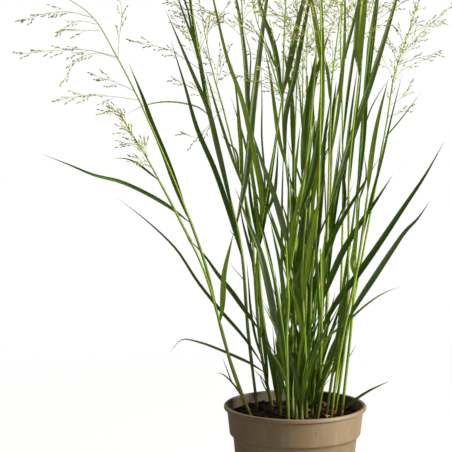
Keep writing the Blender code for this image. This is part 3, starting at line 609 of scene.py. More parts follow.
def front_shoots():
    """The shoots that are seen from the front, from left to right at their feet."""
    return [
        shoot(
            (-61, -6),
            -60,
            [(-83, 190), (-106, 285), (-126, 360), (-145, 408), (-163, 457), (-193, 530), (-204, 552)],
            [
                blade(158, [(-80, 175), (-95, 190), (-107, 193)], 3, -15),
                blade(
                    395,
                    [(-166, 415), (-190, 430), (-228, 448), (-256, 454), (-296, 470), (-332, 484)],
                    6,
                    -50,
                ),
                blade(400, [(-155, 437), (-169, 477), (-182, 508), (-207, 576), (-219, 603)], 9, -20),
            ],
            seed_head(
                [(-215, 572), (-233, 609), (-250, 640), (-264, 662), (-296, 688), (-325, 702)],
                -30,
                branches=2,
                length=80,
                first=0.55,
                drawn=[
                    (556, [(-240, 560), (-280, 561), (-310, 556)]),
                    (568, [(-232, 577), (-265, 588)]),
                    (609, [(-255, 616), (-280, 614), (-303, 582)]),
                    (612, [(-255, 619), (-300, 621), (-357, 616)]),
                    (610, [(-231, 640), (-228, 660), (-229, 690)]),
                    (662, [(-290, 669), (-315, 670), (-355, 660)]),
                    (655, [(-280, 660), (-310, 645)]),
                ],
            ),
        ),
        shoot(
            (-58, -22),
            -110,
            [(-78, 180), (-89, 220), (-101, 262), (-128, 350), (-142, 376), (-161, 413), (-186, 461)],
            [
                blade(258, [(-96, 285), (-95, 320), (-92, 340), (-82, 382)], 8, -35, 60, 40),
                blade(450, [(-205, 470), (-224, 479), (-241, 478)], 3, -10),
            ],
            seed_head([(-196, 480), (-211, 504), (-225, 527), (-235, 543)], -10, 6, 26, 20),
        ),
        shoot(
            (-50, 24),
            30,
            [(-57, 180), (-64, 262), (-72, 357), (-82, 410), (-98, 470), (-112, 530), (-122, 585)],
            [
                blade(350, [(-83, 395), (-112, 480), (-132, 525), (-150, 590), (-164, 633)], 8, -40),
                blade(388, [(-68, 430), (-61, 500), (-55, 560), (-40, 680), (-27, 755)], 10, 60, 85),
                blade(400, [(-90, 440), (-118, 555), (-133, 585), (-148, 620), (-171, 673)], 8, -25),
                blade(470, [(-110, 525), (-122, 585), (-134, 655), (-148, 745)], 7, 40),
                blade(535, [(-130, 547), (-160, 553), (-185, 552), (-215, 542), (-224, 535)], 2.5, -10),
            ],
            seed_head([(-131, 635), (-138, 688), (-147, 745)], 20, 7, 110),
        ),
        shoot(
            (-29, 42),
            90,
            [(-43, 200), (-53, 300), (-58, 380), (-64, 423), (-74, 455), (-85, 505), (-96, 545)],
            [
                blade(448, [(-80, 470), (-92, 505), (-108, 557), (-120, 598)], 5, 20),
                blade(455, [(-72, 485), (-76, 525), (-78, 557)], 5, 40),
            ],
            seed_head([(-107, 585), (-112, 602), (-120, 645), (-128, 690)], 25, 7, 80, 40),
        ),
        shoot(
            (-20, 54),
            150,
            [(-41, 250), (-50, 350), (-55, 450), (-64, 540), (-68, 580), (-70, 630)],
            [blade(330, [(-50, 400), (-62, 480), (-86, 560)], 6, 70)],
            seed_head([(-72, 690), (-78, 760)], 30, 6, 105),
        ),
        shoot(
            (-29, 2),
            -20,
            [(-34, 170), (-40, 198), (-50, 252), (-55, 300), (-50, 352), (-37, 440), (-27, 500), (-19, 557)],
            [
                blade(
                    190,
                    [(-60, 206), (-90, 220), (-120, 232), (-145, 238), (-158, 234), (-167, 220)],
                    4.5,
                    -25,
                ),
                blade(198, [(-60, 230), (-80, 256), (-120, 302), (-166, 369), (-234, 426)], 5, -60),
                blade(252, [(-65, 275), (-80, 297), (-100, 322), (-120, 350), (-142, 373)], 7, -30),
                blade(360, [(-42, 400), (-57, 495), (-67, 545), (-80, 575), (-94, 625), (-122, 745)], 7, -90),
                blade(405, [(-42, 435), (-47, 460), (-57, 515)], 5, 30),
            ],
            seed_head([(-28, 592), (-38, 617), (-48, 640), (-57, 680), (-64, 730)], -20, 7, 100),
        ),
        shoot(
            (-21, -24),
            -40,
            [(-22, 160), (-20, 228), (-16, 270), (-5, 350), (4, 395), (12, 440), (16, 500), (26, 625)],
            [
                blade(226, [(-28, 270), (-37, 315), (-50, 365), (-65, 400), (-80, 440)], 10, -45, 85),
                blade(345, [(-12, 375), (-28, 430), (-45, 475), (-58, 515)], 9, -50),
            ],
            seed_head([(23, 665), (19, 690), (16, 750)], 20, 6, 100),
        ),
        shoot(
            (-10, 14),
            60,
            [(-12, 165), (-14, 240), (-7, 350), (-7, 400), (-12, 440), (-16, 480), (-18, 560), (-16, 650)],
            [
                blade(465, [(-24, 515), (-32, 575), (-42, 625)], 6, -15),
                blade(480, [(-14, 530), (-8, 560), (1, 600), (8, 640), (20, 700), (32, 745)], 8, 50),
                blade(560, [(-9, 600), (-5, 620), (3, 660), (12, 695), (24, 735)], 9, -20),
                blade(655, [(-20, 660), (-33, 680), (-42, 697), (-60, 728)], 8, 10),
            ],
            seed_head([(-14, 690), (-12, 750)], 10, 6, 100),
        ),
        shoot(
            (3, -10),
            -90,
            [(8, 160), (18, 200), (17, 233), (22, 330), (28, 400), (30, 470), (32, 570), (32, 615)],
            [
                blade(236, [(20, 290), (25, 312), (43, 362), (62, 400), (93, 452), (109, 480)], 8, -60),
                blade(600, [(28, 640), (23, 665), (16, 700), (5, 742)], 7, 20),
            ],
            seed_head([(31, 650), (30, 690), (28, 750)], -20, 6, 100),
        ),
        shoot(
            (21, -18),
            -30,
            [(24, 176), (30, 240), (34, 290), (40, 350), (44, 400), (43, 470), (42, 545), (46, 580)],
            [
                blade(184, [(30, 198), (40, 204), (54, 216)], 3, -15),
                blade(230, [(57, 252), (78, 270), (97, 287), (115, 299), (138, 309)], 3.5, -40),
                blade(238, [(37, 260), (60, 295), (92, 338), (136, 405), (170, 457), (194, 501)], 9, -70),
                blade(288, [(45, 315), (70, 370), (92, 402), (115, 438), (127, 457)], 9, -20),
                blade(398, [(50, 420), (63, 475), (93, 565), (116, 640), (140, 720), (158, 760)], 9, 40, 80),
                blade(545, [(43, 575), (41, 595), (36, 615)], 4, -20),
            ],
            seed_head([(50, 615), (60, 690), (66, 750)], 16, 6, 100),
        ),
        shoot(
            (27, -40),
            -60,
            [(38, 178), (50, 208)],
            [blade(190, [(56, 240), (62, 280), (70, 330)], 5, -30)],
        ),
        shoot(
            (33, 50),
            170,
            [(40, 250), (44, 350), (46, 450), (50, 555), (58, 585), (65, 620)],
            [blade(300, [(48, 380), (58, 450), (74, 520)], 7, 80)],
            seed_head([(75, 665), (82, 690), (92, 745)], 30, 6, 105),
        ),
        shoot(
            (42, -8),
            110,
            [(47, 155), (51, 180), (59, 277), (61, 350), (62, 440), (60, 540), (57, 580), (57, 640)],
            [
                blade(198, [(60, 240), (66, 277), (72, 330)], 5, -20),
                blade(430, [(66, 480), (72, 540), (80, 600)], 5, 60),
            ],
            seed_head([(60, 690), (62, 755)], 20, 6, 100),
        ),
        shoot(
            (46, -28),
            -50,
            [(56, 200), (68, 270), (80, 325), (88, 385), (95, 438)],
            [
                blade(360, [(93, 400), (113, 480), (125, 535), (138, 590)], 4, 30),
                blade(430, [(98, 470), (102, 500), (107, 530), (120, 583)], 7, -20),
            ],
        ),
        shoot(
            (49, 22),
            80,
            [(62, 200), (75, 280), (84, 330), (93, 380), (103, 430), (112, 490), (119, 530)],
            [blade(505, [(130, 522), (148, 545), (162, 565)], 2, 10)],
            seed_head(
                [(122, 555), (130, 598), (136, 610), (143, 635), (156, 676), (163, 700)],
                20,
                branches=4,
                length=60,
                rise=35,
                first=0.3,
                drawn=[
                    (534, [(138, 540), (148, 546)]),
                    (548, [(137, 557), (150, 578)]),
                    (602, [(158, 610), (186, 616)]),
                    (612, [(152, 632), (170, 650), (190, 655)]),
                    (640, [(165, 650), (184, 662), (201, 680)]),
                    (600, [(126, 620), (118, 632)]),
                ],
            ),
        ),
        shoot(
            (54, 4),
            -70,
            [(57, 155), (62, 200), (69, 265), (70, 340), (67, 416), (70, 470), (74, 528), (82, 588)],
            [
                blade(262, [(80, 283), (105, 322), (142, 379), (158, 396), (176, 422)], 8, -60),
                blade(586, [(81, 612), (83, 640), (88, 690), (92, 745)], 12, 10, 80),
            ],
        ),
        shoot(
            (61, -14),
            40,
            [(66, 180), (72, 235), (76, 277), (78, 320), (80, 400), (84, 500), (88, 570), (93, 630)],
            [
                blade(143, [(70, 148), (80, 156), (100, 169), (127, 182)], 4, -20),
                blade(500, [(94, 535), (103, 555), (120, 583)], 2, 10),
            ],
            seed_head([(103, 690), (110, 750)], 20, 7, 100),
        ),
    ]


def spare_shoots(draw, feet):
    """Shoots inside the clump and behind it. They lean to the back and a little to the front."""
    found = []
    while len(found) < SPARE_SHOOTS:
        reach = CLUMP_RADIUS * math.sqrt(draw.random())
        turn = draw.uniform(0, 2 * math.pi)
        foot = (reach * math.cos(turn), reach * math.sin(turn))
        if foot[0] < SPARE_LEFT or any(math.dist(foot, other) < SPARE_SPACING for other in feet):
            continue
        feet.append(foot)
        found.append(spare_shoot(draw, foot, len(found)))
    return found


def spare_shoot(draw, foot, number):
    """A culm with its blades; each third one leans forward, and three of the others flower."""
    forward = number % 3 == 2
    ground = SOIL_TOP / MM
    top = draw.uniform(*FORWARD_TOPS) if forward else draw.uniform(*SPARE_TOPS)
    back = -draw.uniform(*FORWARD_LEANS) if forward else draw.uniform(*SPARE_BACKS)
    x = foot[0] * draw.uniform(*SPARE_SPREAD)
    bend = draw.uniform(-SPARE_BEND, SPARE_BEND)
    bow, bow_height = SPARE_BOW
    knee = (x + bend, ground + (top - ground) * SPARE_KNEE)
    culm = [(foot[0] * bow, bow_height), knee, (x, top)]
    blades = []
    for share in SPARE_COLLARS[: 2 if forward else 3]:
        height = ground + (top - ground) * share
        rise = draw.uniform(*SPARE_RISES)
        side = draw.uniform(-SPARE_SIDE, SPARE_SIDE)
        start = foot[0] + (x - foot[0]) * share
        blades.append(
            blade(
                height,
                [(start + side * SPARE_CURVE, height + rise / 2), (start + side, height + rise)],
                draw.uniform(*SPARE_WIDTHS),
                math.copysign(draw.uniform(*SPARE_ARCHES), back),
                draw.uniform(*SPARE_FACES),
                draw.uniform(-SPARE_TWIST, SPARE_TWIST),
            )
        )
    head = None
    if number in SPARE_FLOWERING:
        middle, tip = SPARE_HEAD
        head = seed_head([(x, top + middle), (x * bow, top + tip)], **SPARE_HEAD_FORM)
    return shoot(foot, back, culm, blades, head)


# Seed heads
def rachis_line(shoot, depth):
    """The seed head's axis in front-view coordinates, from the top of the culm."""
    head = shoot["head"]
    start = shoot["front"][-1]
    points = [start]
    for i, (x, z) in enumerate(head["points"], 1):
        points.append(Vector((x * MM, z * MM, start.z + depth * i / len(head["points"]))))
    return smooth_line(points, FINE_STEPS)


def place_rachis(shoot, room):
    head = shoot["head"]
    for depth in steps_about(head["back"] * MM, DEPTH_STEP):
        fine = rachis_line(shoot, depth)
        line = resample([seen_at(*p) for p in fine], RACHIS_POINTS)
        line[0] += (line[1] - line[0]).normalized() * HEAD_GAP
        if room.clear(head["name"], rachis_skin(line, GAP)):
            break
    room.add(head["name"], rachis_skin(line))
    head["line"] = line
    head["front"] = [shown(point) for point in resample(line, FINE_STEPS)]


def drawn_branch(head, leaves_at, points, depth):
    """A branch through front-view points."""
    start = min(head["front"], key=lambda p: abs(p.y - leaves_at * MM))
    along = [start]
    for i, (x, z) in enumerate(points, 1):
        along.append(Vector((x * MM, z * MM, start.z + depth * i / len(points))))
    return [seen_at(*p) for p in smooth_line(along, FINE_STEPS)]


def free_branch(head, number, turn):
    """A branch that rises from the axis at its own turn about it, and droops at its tip."""
    share = head["first"] + (LAST_BRANCH - head["first"]) * number / (head["branches"] - 1)
    line = resample(head["line"], FINE_STEPS)
    at = round(share * (FINE_STEPS - 1))
    along = (line[min(at + 1, FINE_STEPS - 1)] - line[at - 1]).normalized()
    side = along.cross(Vector((0, 1, 0))).normalized()
    out = side * math.cos(turn) + along.cross(side) * math.sin(turn)
    rise = math.radians(head["rise"])
    way = along * math.cos(rise) + out * math.sin(rise)
    length = head["length"] * MM * (1 - BRANCH_TAPER * share)
    middle = line[at] + way * length * 0.5
    tip = line[at] + way * length - Vector((0, 0, BRANCH_DROOP * length))
    return smooth_line([line[at], middle, tip], FINE_STEPS)


def try_branch(head, fine, points, room):
    """Keeps a branch that is clear of other pieces and, past its foot, of its own seed head."""
    line = resample(fine, points)
    foot = resample(fine, 2 * points - 1)
    if not room.clear(head["name"], loft(branch_rings(line, GAP))):
        return False
    if not room.clear(None, loft(branch_rings(foot[1:], GAP))):
        return False
    room.add(head["name"], loft(branch_rings(line)))
    head["twigs"].append(line)
    return True


def place_branches(shoot, room):
    head = shoot["head"]
    head["twigs"] = []
    for number, (leaves_at, points) in enumerate(head["drawn"]):
        middle = DRAWN_DEPTH if number % 2 else -DRAWN_DEPTH
        for depth in steps_about(middle, DEPTH_STEP):
            fine = drawn_branch(head, leaves_at, points, depth)
            if try_branch(head, fine, 1 + max(2, len(points)), room):
                break
    for number in range(head["branches"]):
        for turn in steps_about(GOLDEN_TURN * number, TURN_STEP):
            fine = free_branch(head, number, math.radians(turn))
            points = 3 if (fine[0] - fine[-1]).length > LONG_BRANCH else 2
            if try_branch(head, fine, points, room):
                break


# The whole plant
def grow():
    """Every shoot with its lines in place, as in the solids, and the room they leave."""
    draw = random.Random(SEED)
    shoots = front_shoots()
    shoots += spare_shoots(draw, [s["foot"] for s in shoots])
    heads = 0
    for number, each in enumerate(shoots, 1):
        each["name"] = f"shoot_{number:02d}"
        if each["head"]:
            heads += 1
            each["head"]["name"] = f"seed_head_{heads:02d}"
    room = Room()
    flowering = [s for s in shoots if s["head"]]
    for each in shoots:
        place_culm(each, room)
    for each in flowering:
        place_rachis(each, room)
    for each in shoots:
        each["blades"] = [b for b in each["blades"] if place_blade(each, b, room)]
    for each in flowering:
        place_branches(each, room)
    return shoots, room

# Mesh building
class Skin:
    """The points and faces of one piece, with a tint and a grain (across, along, seed) at each."""

    def __init__(self):
        self.points = []
        self.faces = []
        self.tints = []
        self.grains = []

    def rings(self, rings, tints, grains):
        """A closed skin over rings with the same number of points."""
        sides = len(rings[0])
        first = len(self.points)
        for ring, tint, grain in zip(rings, tints, grains):
            self.points += ring
            self.tints += tint if isinstance(tint, list) else [tint] * sides
            self.grains += grain
        self.faces.append(tuple(first + k for k in reversed(range(sides))))
        for i in range(len(rings) - 1):
            low, high = first + i * sides, first + (i + 1) * sides
            for k in range(sides):
                n = (k + 1) % sides
                self.faces.append((low + k, low + n, high + n, high + k))
        top = first + (len(rings) - 1) * sides
        self.faces.append(tuple(range(top, top + sides)))

    def piece(self, name, look, slot, *nodes):
        mesh = bpy.data.meshes.new(name)
        mesh.from_pydata([tuple(p) for p in self.points], [], self.faces)
        tint = mesh.attributes.new("tint", "FLOAT_COLOR", "POINT")
        tint.data.foreach_set("color", [c for t in self.tints for c in (*t, 1.0)])
        grain = mesh.attributes.new("grain", "FLOAT_VECTOR", "POINT")
        grain.data.foreach_set("vector", [c for g in self.grains for c in g])
        mesh.materials.append(look)
        mesh.shade_smooth()
        made = bpy.data.objects.new(name, mesh)
        bpy.context.scene.collection.objects.link(made)
        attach(made, "root")
        if nodes:
            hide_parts(*nodes)
        return made


def mixed(a, b, share):
    return tuple(x + (y - x) * share for x, y in zip(a, b))


def smooth_step(value, low, high):
    share = min(1, max(0, (value - low) / (high - low)))
    return share * share * (3 - 2 * share)


def grain_seed(draw):
    """Where a piece lies in the grain's pattern, so that no two are alike."""
    return draw.random() * GRAIN_SEEDS


# Leaf shapes
def fold_at(share):
    """How far a blade's halves are raised from flat, in radians: most at its clasping foot."""
    return FOLD_FOOT + (FOLD_BLADE - FOLD_FOOT) * smooth_step(share, 0, FOLD_PAST)


def fine_width(share):
    """Width of a blade along its length, as a share of its greatest width."""
    swell = FINE_FOOT + (1 - FINE_FOOT) * math.sin(min(1, share / BLADE_WIDEST_AT) * math.pi / 2)
    past = max(0, (share - BLADE_WIDEST_AT) / (1 - BLADE_WIDEST_AT))
    return max(swell * (1 - past**BLADE_TAPER), FINE_TIP)


def add_blade(skin, line, width, face, twist, tone, draw):
    """A folded, tapering leaf blade along a line."""
    seed = grain_seed(draw)
    fine = smooth_line(line, BLADE_CUTS)
    waves = draw.uniform(*WAVE_COUNTS)
    phase = draw.uniform(0, FULL_TURN)
    rings, tints, grains = [], [], []
    reached = 0.0
    for i, (across, up) in enumerate(blade_sides(fine, face, twist)):
        share = i / (BLADE_CUTS - 1)
        if i:
            reached += (fine[i] - fine[i - 1]).length
        half = width * fine_width(share) / 2
        fold = fold_at(share)
        wave = math.sin(waves * share * FULL_TURN + phase) * WAVE * half
        wave *= min(1, share / WAVE_START)
        thick = LEAF_THICK * max(fine_width(share), LEAST_THICK) / 2
        top, low = [], []
        for k in range(-ACROSS, ACROSS + 1):
            side = k / ACROSS
            out = across * (side * half * math.cos(fold) * FOLD_EASE)
            lift = abs(side) ** FOLD_POWER * half * math.sin(fold) + wave * side
            rib = MIDRIB * (1 - abs(side)) ** RIB_POWER * fine_width(share)
            here = thick * (1 - abs(side) * EDGE_THIN)
            top.append(fine[i] + out + up * (lift + here))
            low.append(fine[i] + out + up * (lift - here - rib))
        rings.append(top + low[::-1])
        # Painted shade low in the clump and painted light towards its top
        shade = shaded_low_lit_high(blade_tone(tone, share), fine[i].z)
        under = mixed(shade, UNDERSIDE, UNDERSIDE_SHARE)
        edge = mixed(shade, EDGE_TONE, EDGE_SHARE)
        row = [edge, *[shade] * (2 * ACROSS - 1), edge]
        tints.append(row + [edge, *[under] * (2 * ACROSS - 1), edge])
        cross = [(k + ACROSS) / (2 * ACROSS) for k in range(-ACROSS, ACROSS + 1)]
        grains.append([(c, reached, seed) for c in cross + cross[::-1]])
    skin.rings(rings, tints, grains)


def blade_tone(tone, share):
    """A blade's colour along its length: paler at its foot, a little drier at its very tip."""
    base, dry = tone
    pale = mixed(base, FOOT_TONE, FOOT_SHARE)
    shade = mixed(pale, base, smooth_step(share, 0, FOOT_LENGTH))
    return mixed(shade, TIP_TONE, dry * smooth_step(share, TIP_START, 1.0))


def shaded_low_lit_high(shade, height):
    """Darker low in the clump, as painted shade among the crowded leaves, and paler towards its top, as
    painted light shining through the thin leaves.
    """
    shade = mixed(shade, LOW_SHADE_TONE, LOW_SHADE_SHARE * (1 - smooth_step(height, *LOW_SHADE_HEIGHTS)))
    return mixed(shade, TOP_LIGHT_TONE, TOP_LIGHT_SHARE * smooth_step(height, *TOP_LIGHT_HEIGHTS))


def add_tube(skin, line, radii, tints, seed, sides):
    """A round bar, with its tint along it."""
    rings = tube_rings(line, radii, sides)
    grains, reached = [], 0.0
    for i in range(len(line)):
        if i:
            reached += (line[i] - line[i - 1]).length
        grains.append([(k / sides * 2, reached, seed) for k in range(sides)])
    skin.rings(rings, tints, grains)


def share_at(line, height):
    """The place along a line that is nearest to a height, from 0 to 1."""
    best = min(range(len(line)), key=lambda i: abs(line[i].z - height))
    return best / (len(line) - 1)


def add_culm(skin, number, shoot, draw):
    """The culm with its joints, and a sheath below each blade."""
    fine = smooth_line(shoot["line"], CULM_CUTS)
    seed = grain_seed(draw)
    base = mixed(CULM_GREEN, CULM_GOLD, draw.uniform(*GOLD_SHARES))
    collars = sorted(share_at(fine, b["line"][0].z) for b in shoot["blades"])
    seen = JOINTS_SEEN.get(number)
    joints = [seen_share(shoot, height * MM) for height in seen] if seen else joint_places(collars, fine)
    radii, tints = [], []
    for i, point in enumerate(fine):
        share = i / (CULM_CUTS - 1)
        radius = culm_radius(share) * FINE_CULM
        near = min((abs(share - j) for j in joints), default=1)
        radius += JOINT_SWELL * math.exp(-((near / JOINT_LENGTH) ** 2))
        wrapped = any(j < share < c for j, c in zip(joints, collars))
        if wrapped:
            radius += SHEATH_THICK
        shade = mixed(BASE_TONE, base, smooth_step(point.z, SOIL_TOP, SOIL_TOP + draw_height(seed)))
        brown = 1 - smooth_step(point.z, SOIL_TOP, SOIL_TOP + FOOT_BROWN_TOP * (0.3 + seed / 25))
        shade = mixed(shade, FOOT_BROWN, BROWN_SHARE * brown)
        if wrapped:
            shade = mixed(shade, SHEATH_TONE, SHEATH_SHARE)
        shade = mixed(shade, JOINT_TONE, JOINT_SHARE * math.exp(-((near / JOINT_LENGTH) ** 2)))
        radii.append(radius)
        # Painted shade low in the clump and painted light towards its top
        tints.append(shaded_low_lit_high(shade, point.z))
    add_tube(skin, fine, radii, tints, seed, CULM_FACETS)


def draw_height(seed):
    """How far up the pale foot of a culm reaches."""
    return (PALE_FOOT + seed) * MM


def seen_share(shoot, height):
    """The place along a culm that the front view shows at that height, from 0 to 1."""
    return shoot["front"].index(on_culm(shoot, height)) / (FINE_STEPS - 1)


def joint_places(collars, line):
    """A joint stands a sheath's length below each collar."""
    length = sum((b - a).length for a, b in zip(line, line[1:]))
    return [max(0.02, c - SHEATH_LENGTH / length) for c in collars]


# Seed head shapes
def add_spikelet(skin, foot, way, length, tone, draw):
    """A pointed, seed-like spikelet that opens a little at its tip."""
    side = way.cross(Vector((0.3, 1, 0.2))).normalized()
    up = way.cross(side)
    bend = side * draw.uniform(-0.12, 0.12) + up * draw.uniform(-0.12, 0.12)
    rings = []
    for share, fat in SPIKELET_PROFILE:
        centre = foot + way * (length * share) + bend * (length * share * share)
        ring = []
        for k in range(SPIKELET_SIDES):
            a = 2 * math.pi * k / SPIKELET_SIDES
            radius = fat * length * (1 if k % 2 else 0.86)
            ring.append(centre + (side * math.cos(a) + up * math.sin(a) * 0.8) * radius)
        rings.append(ring)
    steps = len(rings) - 1
    tints = [mixed(tone, SPIKELET_TIP, 0.5 * (i / steps) ** 2) for i in range(steps + 1)]
    seed = grain_seed(draw)
    across = [k / SPIKELET_SIDES for k in range(SPIKELET_SIDES)]
    grains = [[(place, i * MM, seed) for place in across] for i in range(steps + 1)]
    skin.rings(rings, tints, grains)


def spikelet_tone(draw):
    return mixed(mixed(SPIKELET_GOLD, SPIKELET_OLIVE, draw.random()), SPIKELET_PURPLE, draw.random() * 0.35)


def add_sprig(skin, foot, way, length, draw):
    """A branchlet with a spikelet at its tip and a few on short stalks along it."""
    tip = foot + way * length - Vector((0, 0, 0.1 * length))
    line = smooth_line([foot, foot + way * length * 0.55, tip], 5)
    radii = [STALK_RADIUS * (1 - 0.35 * i / 4) for i in range(5)]
    add_tube(skin, line, radii, [STALK_TONE] * 5, grain_seed(draw), 4)
    ends = (line[-1] - line[-2]).normalized()
    add_spikelet(skin, line[-1], ends, draw.uniform(*SPIKELET_LENGTH), spikelet_tone(draw), draw)
    count = max(1, round(length / SPIKELET_SPACING))
    for k in range(count):
        share = 0.25 + 0.65 * (k + draw.random() * 0.6) / count
        at = line[0].lerp(line[-1], share)
        turn = draw.uniform(0, FULL_TURN)
        side = ends.cross(Vector((0, 1, 0.1))).normalized()
        out = side * math.cos(turn) + ends.cross(side) * math.sin(turn)
        aim = (ends + out * draw.uniform(0.15, 0.5)).normalized()
        stalk = draw.uniform(0.4, 1.6) * MM
        near = at + aim * stalk
        add_tube(skin, [at, near], [STALK_RADIUS * 0.8] * 2, [STALK_TONE] * 2, 0, 3)
        add_spikelet(skin, near, aim, draw.uniform(*SPIKELET_LENGTH), spikelet_tone(draw), draw)


def turned_out(along, turn, opening):
    """A direction that opens away from along, at a turn about it."""
    side = along.cross(Vector((0, 1, 0))).normalized()
    out = side * math.cos(turn) + along.cross(side) * math.sin(turn)
    return (along + out * opening).normalized()


def add_head(skin, head, sprigs, draw):
    """The axis and branches of a seed head, with its branchlets and spikelets."""
    last = AXIS_CUTS - 1
    axis = smooth_line(head["line"], AXIS_CUTS)
    radii = [RACHIS_FOOT * (1 - RACHIS_TAPER * i / last) for i in range(AXIS_CUTS)]
    tones = [mixed(CULM_GREEN, STALK_TONE, i / last) for i in range(AXIS_CUTS)]
    add_tube(skin, axis, radii, tones, grain_seed(draw), 6)
    add_sprig(skin, axis[-1], (axis[-1] - axis[-2]).normalized(), TIP_SPRIG, draw)
    for k in range(sprigs):
        at = AXIS_SPRIG_START + round((last - AXIS_SPRIG_START - 1) * k / sprigs)
        along = (axis[at + 1] - axis[at]).normalized()
        aim = turned_out(along, math.radians(GOLDEN_TURN * k), draw.uniform(*AXIS_OPENINGS))
        add_sprig(skin, axis[at], aim, draw.uniform(*AXIS_SPRIG_LENGTHS), draw)
    last = TWIG_CUTS - 1
    for twig in head["twigs"]:
        line = smooth_line(twig, TWIG_CUTS)
        radii = [TWIG_FOOT * (1 - TWIG_TAPER * i / last) for i in range(TWIG_CUTS)]
        add_tube(skin, line, radii, [STALK_TONE] * TWIG_CUTS, grain_seed(draw), 4)
        length = sum((b - a).length for a, b in zip(line, line[1:]))
        count = max(LEAST_SPRIGS, round(length / SPRIG_SPACING))
        for k in range(count):
            share = SPRIG_START + (1 - SPRIG_START) * (k + 0.5) / count
            at = min(last - 1, int(share * last))
            along = (line[at + 1] - line[at]).normalized()
            turn = math.radians(GOLDEN_TURN * k + draw.uniform(-TURN_LOOSE, TURN_LOOSE))
            aim = turned_out(along, turn, draw.uniform(*TWIG_OPENINGS))
            reach = draw.uniform(*SPRIG_REACHES) * SPRIG_LENGTH * (1 - SPRIG_SHORTER * share)
            add_sprig(skin, line[at].lerp(line[at + 1], draw.random()), aim, reach, draw)
        add_spikelet(skin, line[-1], along, draw.uniform(*SPIKELET_LENGTH), spikelet_tone(draw), draw)


# Leaves besides those of the solids
def toned(tone, *row, **more):
    leaf = blade(*row, **more)
    leaf["tone"] = tone
    return leaf


